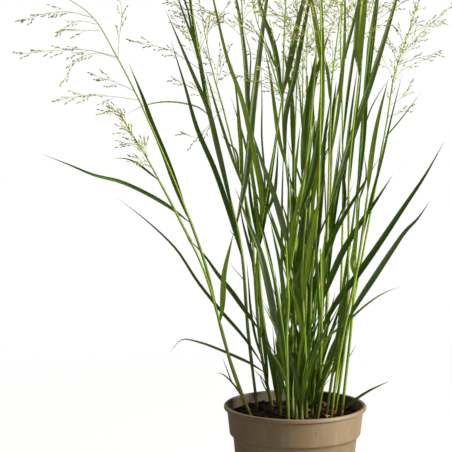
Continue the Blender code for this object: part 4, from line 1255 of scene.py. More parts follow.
def more_blades():
    """Further blades that the front view shows, by the number of their shoot."""
    return {
        1: [toned("brown", 162, [(-84, 180), (-91, 198), (-98, 216)], 2, -10)],
        3: [
            toned("mid", 300, [(-68, 316), (-79, 330), (-89, 341)], 1.2, -10),
            toned("mid", 372, [(-78, 374), (-84, 380), (-89, 387)], 1.2, -10),
            toned("mid", 560, [(-129, 618), (-140, 645), (-147, 668), (-155, 690), (-166, 728)], 4, 10),
            toned("mid", 575, [(-131, 625), (-137, 650), (-141, 670), (-147, 690), (-156, 730)], 4, 25),
            toned("mid", 590, [(-142, 656), (-150, 661), (-163, 666)], 2, -10),
        ],
        4: [
            toned("mid", 460, [(-78, 487), (-90, 500), (-101, 513)], 3, -10),
            toned("bright", 440, [(-71, 480), (-73, 510), (-76, 545), (-80, 575), (-85, 605)], 5, 25),
            toned("mid", 210, [(-56, 255), (-61, 300), (-65, 345)], 4, -20),
        ],
        5: [
            toned("blue", 270, [(-51, 320), (-56, 342), (-62, 365), (-70, 395), (-75, 430)], 5.5, -35),
            toned("mid", 355, [(-57, 368), (-61, 385), (-65, 410), (-69, 450)], 5, 15),
            toned("dark", 370, [(-55, 400), (-60, 430), (-62, 455), (-64, 485)], 5, -20),
            toned("blue", 480, [(-64, 560), (-67, 600), (-70, 650), (-84, 702), (-94, 745)], 7, 10, 85),
            toned("dark", 540, [(-60, 612), (-64, 630), (-70, 652)], 2.5, 10),
            toned("dark", 250, [(-50, 300), (-57, 345), (-62, 390)], 5, 30),
        ],
        6: [
            toned("dark", 350, [(-44, 385), (-40, 412), (-36, 440), (-29, 485), (-22, 530)], 8, -10),
            toned("mid", 405, [(-50, 428), (-56, 439), (-62, 450)], 2.5, -10),
            toned("mid", 420, [(-42, 470), (-45, 505), (-45, 550), (-46, 595)], 3, 30),
            toned("mid", 395, [(-29, 430), (-25, 465), (-24, 500)], 5, 10),
            toned("dark", 570, [(-26, 610), (-34, 640), (-44, 665), (-53, 700), (-64, 740)], 7, 10, 85),
            toned("bright", 235, [(-44, 262), (-47, 290), (-50, 320)], 5, -15),
            toned("dark", 168, [(-37, 200), (-43, 240), (-47, 290), (-52, 340)], 5.5, -10),
            toned("brown", 160, [(-40, 172), (-45, 184), (-49, 192)], 2, -12),
            toned("brown", 165, [(-42, 183), (-50, 192), (-57, 199)], 1.5, -12),
        ],
        7: [
            toned("bright", 417, [(0, 430), (-5, 440), (-11, 456)], 2.5, -10),
            toned("dark", 458, [(16, 505), (20, 550), (24, 590), (28, 642)], 6, 20, 85),
            toned(
                "dark",
                400,
                [(14, 425), (20, 455), (27, 490), (32, 530), (34, 580), (33, 655)],
                10,
                -15,
                85,
            ),
            toned("mid", 262, [(-18, 310), (-18, 370), (-18, 440), (-16, 510)], 4, 20),
            toned("mid", 462, [(10, 500), (6, 545), (2, 585), (-5, 614)], 3, -15),
            toned("blue", 156, [(-21, 190), (-22, 230), (-26, 270)], 9, -5, 85),
            toned("brown", 205, [(-24, 222), (-27, 242)], 2.5, -5),
            toned("mid", 158, [(-17, 195), (-10, 230), (-3, 270)], 6, -10),
        ],
        8: [
            toned("bright", 342, [(-14, 357), (-21, 370), (-29, 395), (-37, 417)], 5.5, -20),
            toned("bright", 545, [(-23, 590), (-30, 605), (-38, 625), (-43, 640)], 5, 10),
            toned("mid", 205, [(-18, 245), (-23, 285), (-27, 330)], 6, 10),
            toned("bright", 168, [(-7, 200), (-3, 225), (2, 262), (5, 305)], 4, -20),
            toned("dark", 240, [(-8, 280), (0, 325), (3, 370), (8, 410)], 7, 10),
        ],
        9: [
            toned(
                "dark",
                318,
                [(25, 355), (30, 395), (33, 440), (35, 480), (39, 520), (46, 568)],
                9,
                -10,
                85,
            ),
            toned("bright", 383, [(22, 405), (25, 440), (30, 472)], 5, -15),
            toned("blue", 335, [(17, 378), (14, 408), (13, 440), (16, 478)], 5, 5, 85),
            toned("mid", 222, [(11, 265), (6, 308), (7, 350), (13, 400), (16, 445)], 7, 10),
            toned("bright", 480, [(33, 540), (34, 600), (33, 650), (31, 700), (27, 745)], 6, 10, 85),
            toned("dark", 158, [(9, 200), (13, 245), (20, 300)], 7, -15),
            toned("mid", 162, [(2, 178), (-4, 190), (-2, 200)], 3, -10),
        ],
        10: [
            toned(
                "bright",
                235,
                [(33, 285), (36, 325), (41, 385), (47, 428), (53, 465), (57, 510)],
                4.5,
                -15,
            ),
            toned("bright", 470, [(51, 510), (56, 550), (60, 590), (63, 640), (62, 700), (59, 745)], 5, 10),
            toned("dark", 158, [(30, 190), (38, 217), (46, 242), (55, 268), (64, 305)], 6.5, -20),
            toned("blue", 196, [(29, 222), (33, 245), (39, 266)], 9, -10, 85),
            toned("mid", 160, [(38, 180), (46, 198), (53, 214)], 3, -15),
            toned("mid", 163, [(38, 174), (44, 181), (51, 188)], 1.2, -15),
            toned("bright", 152, [(17, 190), (14, 210), (20, 250)], 4, -15),
            toned("dark", 480, [(45, 510), (48, 540), (52, 580)], 6, 10),
            toned("mid", 550, [(42, 580), (38, 600), (35, 612)], 4, -10),
        ],
        12: [
            toned("mid", 380, [(50, 430), (56, 480), (58, 520)], 4, 10),
            toned("dark", 560, [(60, 600), (68, 630), (76, 665), (84, 700), (93, 745)], 5, 10),
        ],
        13: [
            toned("dark", 398, [(65, 432), (62, 455), (57, 490)], 5, -10),
            toned("bright", 255, [(65, 320), (70, 355), (75, 390), (79, 430), (82, 465)], 4.5, -20),
            toned("dark", 192, [(60, 220), (61, 250), (65, 290), (70, 325)], 10, -15, 88),
            toned("mid", 500, [(66, 550), (72, 600), (79, 640), (86, 680), (98, 740)], 4.5, 10),
        ],
        14: [toned("bright", 320, [(74, 342), (78, 362), (81, 395), (85, 435)], 6, -15, 85)],
        16: [
            toned("mid", 440, [(73, 480), (78, 530), (83, 575), (86, 620)], 4, 20),
            toned("blue", 588, [(77, 615), (78, 640), (81, 690), (85, 740)], 6, 14, 80),
            toned("mid", 205, [(66, 240), (68, 275), (73, 310)], 6, -15),
        ],
        17: [
            toned(
                "dark",
                430,
                [(87, 480), (89, 530), (92, 590), (98, 640), (104, 700), (110, 748)],
                7,
                10,
                85,
            ),
            toned("mid", 540, [(95, 590), (99, 625), (103, 660), (107, 700), (113, 745)], 4.5, 20),
            toned("bright", 415, [(92, 452), (91, 470), (89, 486)], 3, -10),
            toned("mid", 208, [(74, 218), (78, 225), (81, 232)], 1, -8),
        ],
    }


def known_tones():
    """The tones of the solids' own blades, by shoot and the height where they leave it."""
    return {
        "bright": [
            *[(2, 258), (4, 448), (4, 455), (6, 360), (6, 405)],
            *[(8, 465), (8, 655), (9, 600), (14, 430), (16, 586)],
        ],
        "blue": [
            *[(3, 388), (3, 400), (6, 190), (7, 226), (7, 345)],
            *[(8, 480), (8, 560), (10, 398), (16, 262)],
        ],
        "dark": [
            *[(1, 395), (1, 400), (3, 350), (3, 470), (6, 198)],
            *[(6, 252), (9, 236), (10, 238), (10, 288)],
        ],
    }


def leaf_tone(tone, draw):
    """A blade's own colour and how dry its tip is."""
    share = draw.random()
    if tone is None:
        tone = draw.choice(TONE_DRAWS)
    if tone == "bright":
        base = mixed(LEAF_BRIGHT, LEAF_MID, share * 0.45)
    elif tone == "blue":
        base = mixed(LEAF_BLUE, LEAF_DARK, share * 0.4)
    elif tone == "mid":
        base = mixed(LEAF_MID, LEAF_DARK, share * 0.5)
    elif tone == "brown":
        base = mixed(SHEATH_BROWN, TIP_TONE, share)
    else:
        base = mixed(LEAF_DARK, LEAF_MID, share * 0.35)
    return base, draw.random()


def more_twigs():
    """Further branches of the seed heads, by head number: where each leaves, and its points."""
    return {
        4: [(494, [(-133, 503), (-147, 511)])],
    }


def add_twigs(heads, draw):
    """The branches that the view shows, then finer ones that go round each axis."""
    for number, head in enumerate(heads, 1):
        for leaves_at, points in more_twigs().get(number, []):
            head["twigs"].append(resample(drawn_branch(head, leaves_at, points, 0), 4))
        for k in range(MORE_TWIGS.get(number, FINE_TWIGS)):
            head_twig(head, k, draw)


def head_twig(head, number, draw):
    """A fine branch at its own turn about the axis, steeper and shorter than the main ones."""
    slim = {
        **head,
        "first": head["first"],
        "branches": FINE_TWIGS,
        "rise": draw.uniform(*TWIG_RISES),
        "length": head["length"] * draw.uniform(*TWIG_SHARES),
    }
    turn = math.radians(GOLDEN_TURN * (number + 0.5))
    head["twigs"].append(resample(free_branch(slim, number % FINE_TWIGS, turn), 5))


def tone_blades(shoots, draw):
    known = {place: tone for tone, places in known_tones().items() for place in places}
    for number, each in enumerate(shoots, 1):
        for one in each["blades"]:
            one["tone"] = leaf_tone(known.get((number, one["leaves_at"])), draw)


def add_leaf(shoot, leaf, room, draw, must=False):
    """Places a further leaf; one that the view shows keeps its place also where others touch it."""
    placed = place_blade(shoot, leaf, room)
    if not placed and must:
        leaf["line"] = blade_line(shoot, leaf, leaf["back"] * MM)
        placed = True
    if placed:
        leaf["tone"] = leaf_tone(leaf.get("tone"), draw)
        shoot["blades"].append(leaf)


def further_leaves(shoots, room, draw):
    """The blades that the view shows, then leaves that fan out of the soil and fill the clump."""
    for number, leaves in more_blades().items():
        for leaf in leaves:
            add_leaf(shoots[number - 1], leaf, room, draw, must=True)
    inner_shoots = [s for s in shoots if CLUMP_LEFT < on_culm(s, CLUMP_HEIGHT).x < CLUMP_RIGHT]
    for shoot in inner_shoots:
        for _ in range(BASE_LEAVES):
            fan_leaf(shoot, room, draw, SOIL_TOP + 4 * MM, SOIL_TOP + 35 * MM, BASE_RISE, BASE_SPREAD)
    for _ in range(LOW_LEAVES):
        shoot = draw.choice(inner_shoots)
        fan_leaf(shoot, room, draw, SOIL_TOP + 30 * MM, LOW_LEAF_TOP, LOW_RISE, LOW_SPREAD)


def fan_leaf(shoot, room, draw, lowest, highest, rises, spread):
    """A leaf that rises from a culm and leans away from it, outwards more than inwards."""
    height = draw.uniform(lowest, min(highest, shoot["front"][-1].y - 30 * MM))
    start = on_culm(shoot, height)
    rise = draw.uniform(*rises)
    lean = draw.uniform(-spread, spread) + (start.x - CLUMP_MIDDLE) * OUTWARD
    curve = lean * draw.uniform(0.5, 1.3)
    leaf = blade(
        height / MM,
        [
            ((start.x + (lean * 0.35) * rise) / MM, (height + rise * 0.45) / MM),
            ((start.x + (lean + curve * 0.4) * rise) / MM, (height + rise) / MM),
        ],
        draw.uniform(*LEAF_WIDTHS),
        draw.uniform(-40, 60),
        draw.uniform(40, 90),
        draw.uniform(-50, 50),
    )
    tip = start.x + (lean + curve * 0.4) * rise
    if CLUMP_EDGES[0] < tip < CLUMP_EDGES[1]:
        add_leaf(shoot, leaf, room, draw)


# Materials
def nodes_of(name, roughness, gloss):
    look = bpy.data.materials.new(name)
    look.use_nodes = True
    tree = look.node_tree
    shader = tree.nodes["Principled BSDF"]
    shader.inputs["Roughness"].default_value = roughness
    shader.inputs["Specular IOR Level"].default_value = gloss
    return look, tree, shader


def add_node(tree, kind, values=None, links=None, **settings):
    """A node with its settings, input values and incoming links."""
    made = tree.nodes.new(kind)
    for key, value in settings.items():
        setattr(made, key, value)
    for key, value in (values or {}).items():
        made.inputs[key].default_value = value
    for key, source in (links or {}).items():
        tree.links.new(source, made.inputs[key])
    return made


def ramp(tree, source, stops):
    """The colour that the stops give a value; a bare number is a grey."""
    made = add_node(tree, "ShaderNodeValToRGB", links={"Fac": source})
    marks = made.color_ramp.elements
    while len(marks) < len(stops):
        marks.new(0.5)
    for mark, (place, colour) in zip(marks, stops):
        mark.position = place
        mark.color = (*colour, 1) if isinstance(colour, tuple) else (colour, colour, colour, 1)
    return made.outputs["Color"]


def mix_colour(tree, kind, amount, first, second):
    made = add_node(tree, "ShaderNodeMix", data_type="RGBA", blend_type=kind)
    for key, value in (("Factor", amount), ("A", first), ("B", second)):
        socket = next(s for s in made.inputs if s.name == key and s.enabled)
        if isinstance(value, (int, float)):
            socket.default_value = value
        elif isinstance(value, tuple):
            socket.default_value = (*value, 1)
        else:
            tree.links.new(value, socket)
    return next(s for s in made.outputs if s.enabled)


def attribute(tree, name, output):
    """A value that a mesh holds at its points."""
    return add_node(tree, "ShaderNodeAttribute", attribute_name=name).outputs[output]


def product(tree, first, second):
    links = {0: first}
    values = {}
    (values if isinstance(second, (int, float)) else links)[1] = second
    return add_node(tree, "ShaderNodeMath", values, links, operation="MULTIPLY").outputs[0]


def soft_noise(tree, place, scale, detail, stretch=(1, 1, 1)):
    """Soft noise, over places that are first stretched."""
    stretched = add_node(
        tree, "ShaderNodeVectorMath", {1: stretch}, {0: place}, operation="MULTIPLY"
    )
    values = {"Scale": scale, "Detail": detail}
    links = {"Vector": stretched.outputs[0]}
    return add_node(tree, "ShaderNodeTexNoise", values, links).outputs["Fac"]


def add_relief(tree, shader, height, strength, distance):
    """Fine relief that only the light shows."""
    values = {"Strength": strength, "Distance": distance}
    bump = add_node(tree, "ShaderNodeBump", values, {"Height": height})
    tree.links.new(bump.outputs[0], shader.inputs["Normal"])


def leaf_look():
    """Satin leaf: its tint, with fine lengthwise veins, soft blotches and streaks."""
    look, tree, shader = nodes_of("leaf", LEAF_ROUGH, LEAF_GLOSS)
    grain = attribute(tree, "grain", "Vector")
    across = add_node(tree, "ShaderNodeSeparateXYZ", links={"Vector": grain}).outputs["X"]
    turned = product(tree, across, VEINS * 2 * math.pi)
    wave = add_node(tree, "ShaderNodeMath", links={0: turned}, operation="SINE").outputs[0]
    level = add_node(tree, "ShaderNodeMapRange", {1: -1.0, 2: 1.0}, {0: wave}).outputs[0]
    colour = attribute(tree, "tint", "Color")
    for source, shades, amount in (
        (level, VEIN_SHADES, 1.0),
        (soft_noise(tree, grain, 1.0, 3.0, BLOTCH_STRETCH), BLOTCH_SHADES, 1.0),
        (soft_noise(tree, grain, 1.0, 2.0, STREAK_STRETCH), STREAK_SHADES, 0.8),
    ):
        colour = mix_colour(tree, "MULTIPLY", amount, colour, ramp(tree, source, shades))
    tree.links.new(colour, shader.inputs["Base Color"])
    add_relief(tree, shader, wave, 0.25, VEIN_RELIEF)
    return look


def straw_look():
    """Dry, papery seed heads, flecked along their length."""
    look, tree, shader = nodes_of("seed_head", STRAW_ROUGH, LEAF_GLOSS)
    fleck = soft_noise(tree, attribute(tree, "grain", "Vector"), 1.0, 2.0, FLECK_STRETCH)
    shade = ramp(tree, fleck, FLECK_SHADES)
    colour = mix_colour(tree, "MULTIPLY", 1.0, attribute(tree, "tint", "Color"), shade)
    tree.links.new(colour, shader.inputs["Base Color"])
    return look


def plastic_look():
    """Matte moulded plastic: a fine grain, faint rubbed streaks, a painted highlight along the lip's crest, a
    painted shade line under the lip, and dried soil and painted shade on the inner wall.
    """
    look, tree, shader = nodes_of("pot_plastic", 0.5, POT_GLOSS)
    place = add_node(tree, "ShaderNodeTexCoord").outputs["Object"]
    soft = soft_noise(tree, place, 18.0, 4.0)
    tone = ramp(tree, soft, [(0.3, POT_DARK), (0.7, POT_LIGHT)])
    rub = soft_noise(tree, place, 22.0, 6.0, (9, 9, 1))
    colour = mix_colour(tree, "MIX", ramp(tree, rub, RUB_MARKS), tone, POT_RUB_AND_HIGHLIGHT)
    speck = soft_noise(tree, place, 240.0, 2.0)
    colour = mix_colour(tree, "MIX", ramp(tree, speck, DIRT_SPECKS), colour, POT_DIRT_AND_SHADE)
    splash = soft_noise(tree, place, 90.0, 5.0)
    # Dried soil splashes and painted shade on the inner wall
    soiled_and_shaded = product(tree, attribute(tree, "inside", "Fac"), ramp(tree, splash, SOILED_AND_SHADED))
    colour = mix_colour(tree, "MIX", soiled_and_shaded, colour, POT_DIRT_AND_SHADE)
    # Painted shade in a band under the lip, and a painted highlight along the lip's crest
    for mark, tone, most in (("under_lip_shade", POT_DIRT_AND_SHADE, 0.7), ("crest_highlight", POT_RUB_AND_HIGHLIGHT, 0.75)):
        amount = product(tree, attribute(tree, mark, "Fac"), most)
        colour = mix_colour(tree, "MIX", amount, colour, tone)
    tree.links.new(colour, shader.inputs["Base Color"])
    tree.links.new(ramp(tree, rub, POT_ROUGH), shader.inputs["Roughness"])
    add_relief(tree, shader, soft_noise(tree, place, 900.0, 2.0), 0.15, 0.3 * MM)
    return look


def soil_look():
    """Damp dark soil, from black to brown, with its crumbs as relief."""
    look, tree, shader = nodes_of("soil", 0.92, SOIL_GLOSS)
    place = add_node(tree, "ShaderNodeTexCoord").outputs["Object"]
    grit = soft_noise(tree, place, 420.0, 4.0)
    tone = ramp(tree, grit, [(0.3, SOIL_BLACK), (0.55, SOIL_DARK), (0.75, SOIL_BROWN)])
    tree.links.new(tone, shader.inputs["Base Color"])
    crumb = add_node(tree, "ShaderNodeTexVoronoi", {"Scale": 260.0}, {"Vector": place})
    add_relief(tree, shader, crumb.outputs["Distance"], 0.6, 1.2 * MM)
    return look


def bark_look():
    """Bark and wood chips, each with its own tint and a fine grain."""
    look, tree, shader = nodes_of("bark", 0.85, SOIL_GLOSS)
    place = add_node(tree, "ShaderNodeTexCoord").outputs["Object"]
    fibre = soft_noise(tree, place, 500.0, 4.0)
    shade = ramp(tree, fibre, BARK_SHADES)
    colour = mix_colour(tree, "MULTIPLY", 1.0, attribute(tree, "tint", "Color"), shade)
    tree.links.new(colour, shader.inputs["Base Color"])
    add_relief(tree, shader, fibre, 0.5, 0.6 * MM)
    return look


# Pot and soil
def inner(radius, gap=0.0):
    return radius - WALL - gap


def arc(centre, radius, start, end, count):
    """Points of an arc in the (r, z) plane; angles in degrees, from start to end."""
    turns = [math.radians(start + (end - start) * i / (count - 1)) for i in range(count)]
    return [(centre[0] + radius * math.cos(a), centre[1] + radius * math.sin(a)) for a in turns]


def between(start, end):
    """Three points on the straight line from start to end."""
    return [tuple(a + (b - a) * share for a, b in zip(start, end)) for share in (0.25, 0.5, 0.75)]


def lathe(name, profile, steps, look, nodes):
    """A closed turned piece from a profile that runs down its outer side and up its inner side."""
    mesh = bpy.data.meshes.new(name)
    work = bmesh.new()
    rows = []
    for r, z in profile:
        if r == 0:
            rows.append([work.verts.new((0, 0, z))])
            continue
        turns = [2 * math.pi * k / steps for k in range(steps)]
        rows.append([work.verts.new((r * math.cos(a), r * math.sin(a), z)) for a in turns])
    for high, low in zip(rows, rows[1:] + rows[:1]):
        for k in range(steps):
            n = (k + 1) % steps
            if len(high) == 1 and len(low) == 1:
                continue
            if len(high) == 1:
                work.faces.new((high[0], low[n], low[k]))
            elif len(low) == 1:
                work.faces.new((high[k], high[n], low[0]))
            else:
                work.faces.new((high[k], high[n], low[n], low[k]))
    bmesh.ops.recalc_face_normals(work, faces=work.faces)
    work.to_mesh(mesh)
    work.free()
    mesh.materials.append(look)
    mesh.shade_smooth()
    mesh.set_sharp_from_angle(angle=math.radians(38))
    made = bpy.data.objects.new(name, mesh)
    bpy.context.scene.collection.objects.link(made)
    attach(made, "root")
    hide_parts(*nodes)
    return made


def make_pot(look):
    """The nursery pot: a rolled lip, a deep collar with a rounded lower edge and a tapering body."""
    lip = POT_HEIGHT - RIM_DEPTH
    step = COLLAR_FOOT - COLLAR_STEP
    crest = (RIM_RADIUS - LIP_ROUND, POT_HEIGHT - LIP_ROUND)
    profile = arc(crest, LIP_ROUND, 90, 0, 7)
    profile += arc((RIM_RADIUS - 0.8 * MM, lip + 0.8 * MM), 0.8 * MM, 0, -80, 4)
    profile += [(COLLAR_TOP_RADIUS + 0.6 * MM, lip), (COLLAR_TOP_RADIUS, lip - 0.7 * MM)]
    # A point at the foot of the painted shade band under the lip
    profile.append((COLLAR_TOP_RADIUS - 0.1 * MM, lip - UNDER_LIP_SHADE_DEPTH))
    profile += between((COLLAR_TOP_RADIUS, lip), (COLLAR_FOOT_RADIUS, COLLAR_FOOT + COLLAR_ROUND))
    profile += arc((COLLAR_FOOT_RADIUS - COLLAR_ROUND, COLLAR_FOOT + COLLAR_ROUND), COLLAR_ROUND, 0, -78, 7)
    profile += [(BODY_TOP_RADIUS + 0.9 * MM, step + 1.2 * MM), (BODY_TOP_RADIUS, step)]
    profile += between((BODY_TOP_RADIUS, step), (BASE_RADIUS, BASE_ROUNDING))
    profile += arc((BASE_RADIUS - BASE_ROUNDING, BASE_ROUNDING), BASE_ROUNDING, 0, -90, 5)
    profile += [(0, 0), (0, WALL), (inner(BASE_RADIUS), WALL)]
    profile += [(inner(BODY_TOP_RADIUS), step + WALL), (inner(COLLAR_FOOT_RADIUS), COLLAR_FOOT + WALL)]
    profile += [(inner(COLLAR_TOP_RADIUS), lip - 1 * MM)]
    profile += arc((RIM_CREST_RADIUS - 2 * WALL + 1.2 * MM, POT_HEIGHT - 1.2 * MM), 1.2 * MM, 180, 90, 4)
    pot = lathe("pot_body", profile, POT_FACETS, look, ["pot"])
    cut_drains(pot)
    inside = pot.data.attributes.new("inside", "FLOAT", "POINT")
    under_lip_shade = pot.data.attributes.new("under_lip_shade", "FLOAT", "POINT")
    crest_highlight = pot.data.attributes.new("crest_highlight", "FLOAT", "POINT")
    for vertex in pot.data.vertices:
        reach, height = math.hypot(vertex.co.x, vertex.co.y), vertex.co.z
        # The inner wall, darkened by dried soil and painted shade
        inside.data[vertex.index].value = float(reach < outer_radius(height) - WALL / 2)
        # Painted shade in a band under the lip
        in_under_lip_shade = reach > COLLAR_TOP_RADIUS - WALL / 2 and lip - UNDER_LIP_SHADE_DEPTH / 2 < height < lip + 0.1 * MM
        under_lip_shade.data[vertex.index].value = float(in_under_lip_shade)
        # Painted highlight along the lip's crest
        crest_highlight.data[vertex.index].value = float(height > POT_HEIGHT - 0.7 * MM)


def outer_radius(height):
    """The outside of the pot's wall at a height: the collar above its foot, the body below."""
    if height > COLLAR_FOOT:
        share = (height - COLLAR_FOOT) / (POT_HEIGHT - RIM_DEPTH - COLLAR_FOOT)
        return COLLAR_FOOT_RADIUS + (COLLAR_TOP_RADIUS - COLLAR_FOOT_RADIUS) * share
    return BASE_RADIUS + (BODY_TOP_RADIUS - BASE_RADIUS) * height / (COLLAR_FOOT - COLLAR_STEP)


def cut_drains(pot):
    """Drainage holes near the edge of the base, as in the solid."""
    for k in range(DRAIN_HOLES):
        turn = 2 * math.pi * k / DRAIN_HOLES
        work = bmesh.new()
        bmesh.ops.create_cone(
            work, cap_ends=True, segments=24, radius1=DRAIN_RADIUS, radius2=DRAIN_RADIUS, depth=WALL * 4
        )
        mesh = bpy.data.meshes.new("drain")
        work.to_mesh(mesh)
        work.free()
        cutter = bpy.data.objects.new("drain", mesh)
        cutter.location = (DRAIN_CIRCLE * math.cos(turn), DRAIN_CIRCLE * math.sin(turn), WALL / 2)
        bpy.context.scene.collection.objects.link(cutter)
        step = pot.modifiers.new("drain", "BOOLEAN")
        step.operation = "DIFFERENCE"
        step.object = cutter
        apply_modifiers(pot)
        bpy.data.objects.remove(cutter)


def apply_modifiers(thing):
    bpy.context.view_layer.update()
    graph = bpy.context.evaluated_depsgraph_get()
    mesh = bpy.data.meshes.new_from_object(thing.evaluated_get(graph))
    thing.modifiers.clear()
    thing.data = mesh


def soil_edge():
    """The inner radius of the pot at the soil's height."""
    lip = POT_HEIGHT - RIM_DEPTH
    slope = (COLLAR_TOP_RADIUS - COLLAR_FOOT_RADIUS) / (lip - COLLAR_FOOT)
    return inner(COLLAR_TOP_RADIUS - slope * (lip - SOIL_TOP), TOUCH_GAP)


def soil_height(x, y):
    """The lumpy top of the soil."""
    far = math.hypot(x, y) / soil_edge()
    place = Vector((x, y, 0))
    lumps = noise.noise(place * 55) * 1.6 + noise.noise(place * 160 + Vector((5, 0, 0))) * 1.1
    return SOIL_TOP + SOIL_CROWN * (1 - far * far) + lumps * min(1, (1.02 - far) * 9) * MM


def make_soil(look):
    """Soil with a crumbled top, down to the pot's floor."""
    work = bmesh.new()
    rings, edge = [], soil_edge()
    for i in range(SOIL_ROWS + 1):
        r = edge * i / SOIL_ROWS
        if i == 0:
            rings.append([work.verts.new((0, 0, soil_height(0, 0)))])
            continue
        row = []
        for k in range(SOIL_FACETS):
            a = 2 * math.pi * k / SOIL_FACETS
            x, y = r * math.cos(a), r * math.sin(a)
            row.append(work.verts.new((x, y, soil_height(x, y))))
        rings.append(row)
    for r, z in (
        (inner(COLLAR_FOOT_RADIUS, TOUCH_GAP), COLLAR_FOOT + WALL + TOUCH_GAP),
        (inner(BODY_TOP_RADIUS, TOUCH_GAP), COLLAR_FOOT - COLLAR_STEP + WALL + TOUCH_GAP),
        (inner(BASE_RADIUS, TOUCH_GAP), WALL + TOUCH_GAP),
    ):
        turns = [2 * math.pi * k / SOIL_FACETS for k in range(SOIL_FACETS)]
        rings.append([work.verts.new((r * math.cos(a), r * math.sin(a), z)) for a in turns])
    rings.append([work.verts.new((0, 0, WALL + TOUCH_GAP))])
    for low, high in zip(rings, rings[1:]):
        for k in range(SOIL_FACETS):
            n = (k + 1) % SOIL_FACETS
            if len(low) == 1:
                work.faces.new((low[0], high[k], high[n]))
            elif len(high) == 1:
                work.faces.new((low[k], high[0], low[n]))
            else:
                work.faces.new((low[k], high[k], high[n], low[n]))
    bmesh.ops.recalc_face_normals(work, faces=work.faces)
    mesh = bpy.data.meshes.new("soil_top")
    work.to_mesh(mesh)
    work.free()
    mesh.materials.append(look)
    mesh.shade_smooth()
    made = bpy.data.objects.new("soil_body", mesh)
    bpy.context.scene.collection.objects.link(made)
    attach(made, "root")
    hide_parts("soil")


def make_chips(look, draw):
    """Bark chips, wood slivers and crumbs strewn over the soil."""
    skin = Skin()
    edge = soil_edge()
    for _ in range(CHIPS):
        reach = edge * math.sqrt(draw.random()) * 0.95
        turn = draw.uniform(0, 2 * math.pi)
        x, y = reach * math.cos(turn), reach * math.sin(turn)
        size = draw.choice(CHIP_SIZES) * draw.uniform(0.7, 1.3) * MM
        room = edge - reach
        size = min(size, room * 1.6 + 1 * MM)
        centre = Vector((x, y, soil_height(x, y) + size * 0.12))
        fade = 1 - draw.random() * (0.25 + 0.75 * smooth_step(x, *CHIPS_BRIGHTER))
        tone = mixed(draw.choice(CHIP_TONES), SOIL_DARK, fade)
        add_chip(skin, centre, size, tone, draw)
    skin.piece("bark_chips", look, "soil")


def add_chip(skin, centre, size, tone, draw):
    """A flat, ragged chip lying at its own tilt."""
    way = Vector((draw.uniform(-1, 1), draw.uniform(-1, 1), draw.uniform(-0.35, 0.35))).normalized()
    side = way.cross(Vector((0, 0, 1))).normalized()
    up = (side.cross(way) + side * draw.uniform(-0.5, 0.5)).normalized()
    side = up.cross(way).normalized()
    wide, thick = size * draw.uniform(0.35, 0.75), size * draw.uniform(0.14, 0.3)
    rings = []
    for share, fat in CHIP_SECTIONS:
        ring = []
        for k in range(CHIP_SIDES):
            a = 2 * math.pi * (k + 0.5) / CHIP_SIDES
            fuzz = draw.uniform(0.8, 1.15)
            ring.append(
                centre
                + way * (share * size)
                + side * (math.cos(a) * wide * fat * fuzz / 2)
                + up * (math.sin(a) * thick * fat * fuzz / 2)
            )
        rings.append(ring)
    grains = [[(k / CHIP_SIDES, i * MM, 0) for k in range(CHIP_SIDES)] for i in range(len(rings))]
    skin.rings(rings, [tone] * len(rings), grains)


# Ground, light and camera
def add_area(name, place, aim, size, power, colour):
    data = bpy.data.lights.new(name, "AREA")
    data.shape = "DISK"
    data.size = size
    data.energy = power
    data.color = colour
    light = bpy.data.objects.new(name, data)
    light.location = place
    light.rotation_euler = (Vector(aim) - Vector(place)).to_track_quat("-Z", "Y").to_euler()
    bpy.context.scene.collection.objects.link(light)


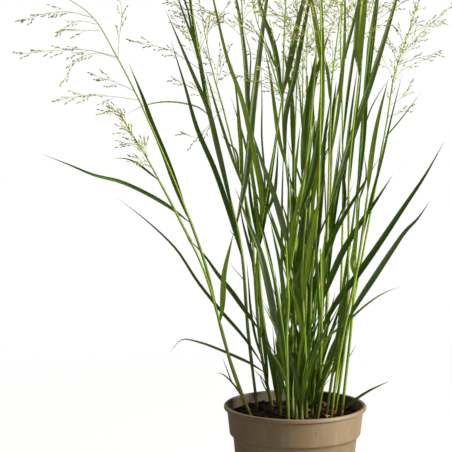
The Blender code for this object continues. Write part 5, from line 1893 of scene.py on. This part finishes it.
def make_ground():
    """A plain pale ground. Away from the pot it is seen as white as its surroundings, and no
    brighter, because an over-bright ground would swallow the thin stems in front of it."""
    look, tree, shader = nodes_of("stage", 0.9, 0.5)
    soft = add_node(tree, "ShaderNodeTexNoise", {"Scale": 3.0}).outputs["Fac"]
    tree.links.new(ramp(tree, soft, GROUND_TONES), shader.inputs["Base Color"])
    shader.inputs["Emission Color"].default_value = (1, 1, 1, 1)
    seen = add_node(tree, "ShaderNodeLightPath").outputs["Is Camera Ray"]
    tree.links.new(product(tree, seen, GROUND_GLOW), shader.inputs["Emission Strength"])
    place = add_node(tree, "ShaderNodeTexCoord").outputs["Object"]
    far = add_node(tree, "ShaderNodeVectorMath", links={0: place}, operation="LENGTH")
    limits = {1: WHITE_FROM, 2: WHITE_PAST, 3: WHITE_LEAST, 4: 1.0}
    links = {0: far.outputs["Value"]}
    fade = add_node(tree, "ShaderNodeMapRange", limits, links, interpolation_type="SMOOTHSTEP")
    white = add_node(tree, "ShaderNodeEmission", {"Color": (1, 1, 1, 1), "Strength": 1.0})
    links = {0: product(tree, fade.outputs[0], seen), 1: shader.outputs[0], 2: white.outputs[0]}
    surface = add_node(tree, "ShaderNodeMixShader", links=links)
    tree.links.new(surface.outputs[0], tree.nodes["Material Output"].inputs["Surface"])
    work = bmesh.new()
    bmesh.ops.create_circle(work, cap_ends=True, segments=64, radius=GROUND_RADIUS)
    mesh = bpy.data.meshes.new("ground")
    work.to_mesh(mesh)
    work.free()
    mesh.materials.append(look)
    mesh.shade_smooth()
    ground = bpy.data.objects.new("ground", mesh)
    bpy.context.scene.collection.objects.link(ground)


def set_light():
    """White surroundings that give little light, and soft light, most of it from the right."""
    world = bpy.data.worlds.new("studio")
    world.use_nodes = True
    sky = world.node_tree
    seen = add_node(sky, "ShaderNodeLightPath").outputs["Is Camera Ray"]
    values = {"To Min": WORLD_LIGHT, "To Max": 1.0}
    level = add_node(sky, "ShaderNodeMapRange", values, {"Value": seen})
    tint = mix_colour(sky, "MIX", seen, SKY_WARMTH, (1, 1, 1))
    sky.links.new(tint, sky.nodes["Background"].inputs["Color"])
    sky.links.new(level.outputs[0], sky.nodes["Background"].inputs["Strength"])
    bpy.context.scene.world = world
    for row in LIGHTS:
        add_area(*row)
    view = bpy.context.scene.view_settings
    view.view_transform = "Standard"
    view.look = "None"
    view.exposure = 0.0


def set_camera():
    data = bpy.data.cameras.new("camera")
    data.lens = LENS
    data.sensor_width = 36
    data.clip_end = 50
    camera = bpy.data.objects.new("camera", data)
    camera.location = VIEWPOINT
    camera.rotation_euler = (math.radians(90 - CAMERA_DOWN), 0, 0)
    bpy.context.scene.collection.objects.link(camera)
    bpy.context.scene.camera = camera


def main():
    set_camera()
    make_ground()
    set_light()
    draw = random.Random(LOOKS_SEED)
    shoots, room = grow()
    leaf, straw = leaf_look(), straw_look()
    tone_blades(shoots, draw)
    further_leaves(shoots, room, draw)
    heads = [each["head"] for each in shoots if each["head"]]
    add_twigs(heads, draw)
    for number, each in enumerate(shoots, 1):
        skin = Skin()
        add_culm(skin, number, each, draw)
        for one in each["blades"]:
            add_blade(skin, one["line"], one["width"] * MM, one["face"], one["twist"], one["tone"], draw)
        skin.piece(each["name"] + "_leaves", leaf, "foliage", each["name"])
        if each["head"]:
            skin = Skin()
            add_head(skin, each["head"], AXIS_SPRIGS.get(heads.index(each["head"]) + 1, 0), draw)
            skin.piece(each["head"]["name"] + "_spikelets", straw, "seed_heads", each["head"]["name"])
    make_pot(plastic_look())
    make_soil(soil_look())
    make_chips(bark_look(), draw)


main()
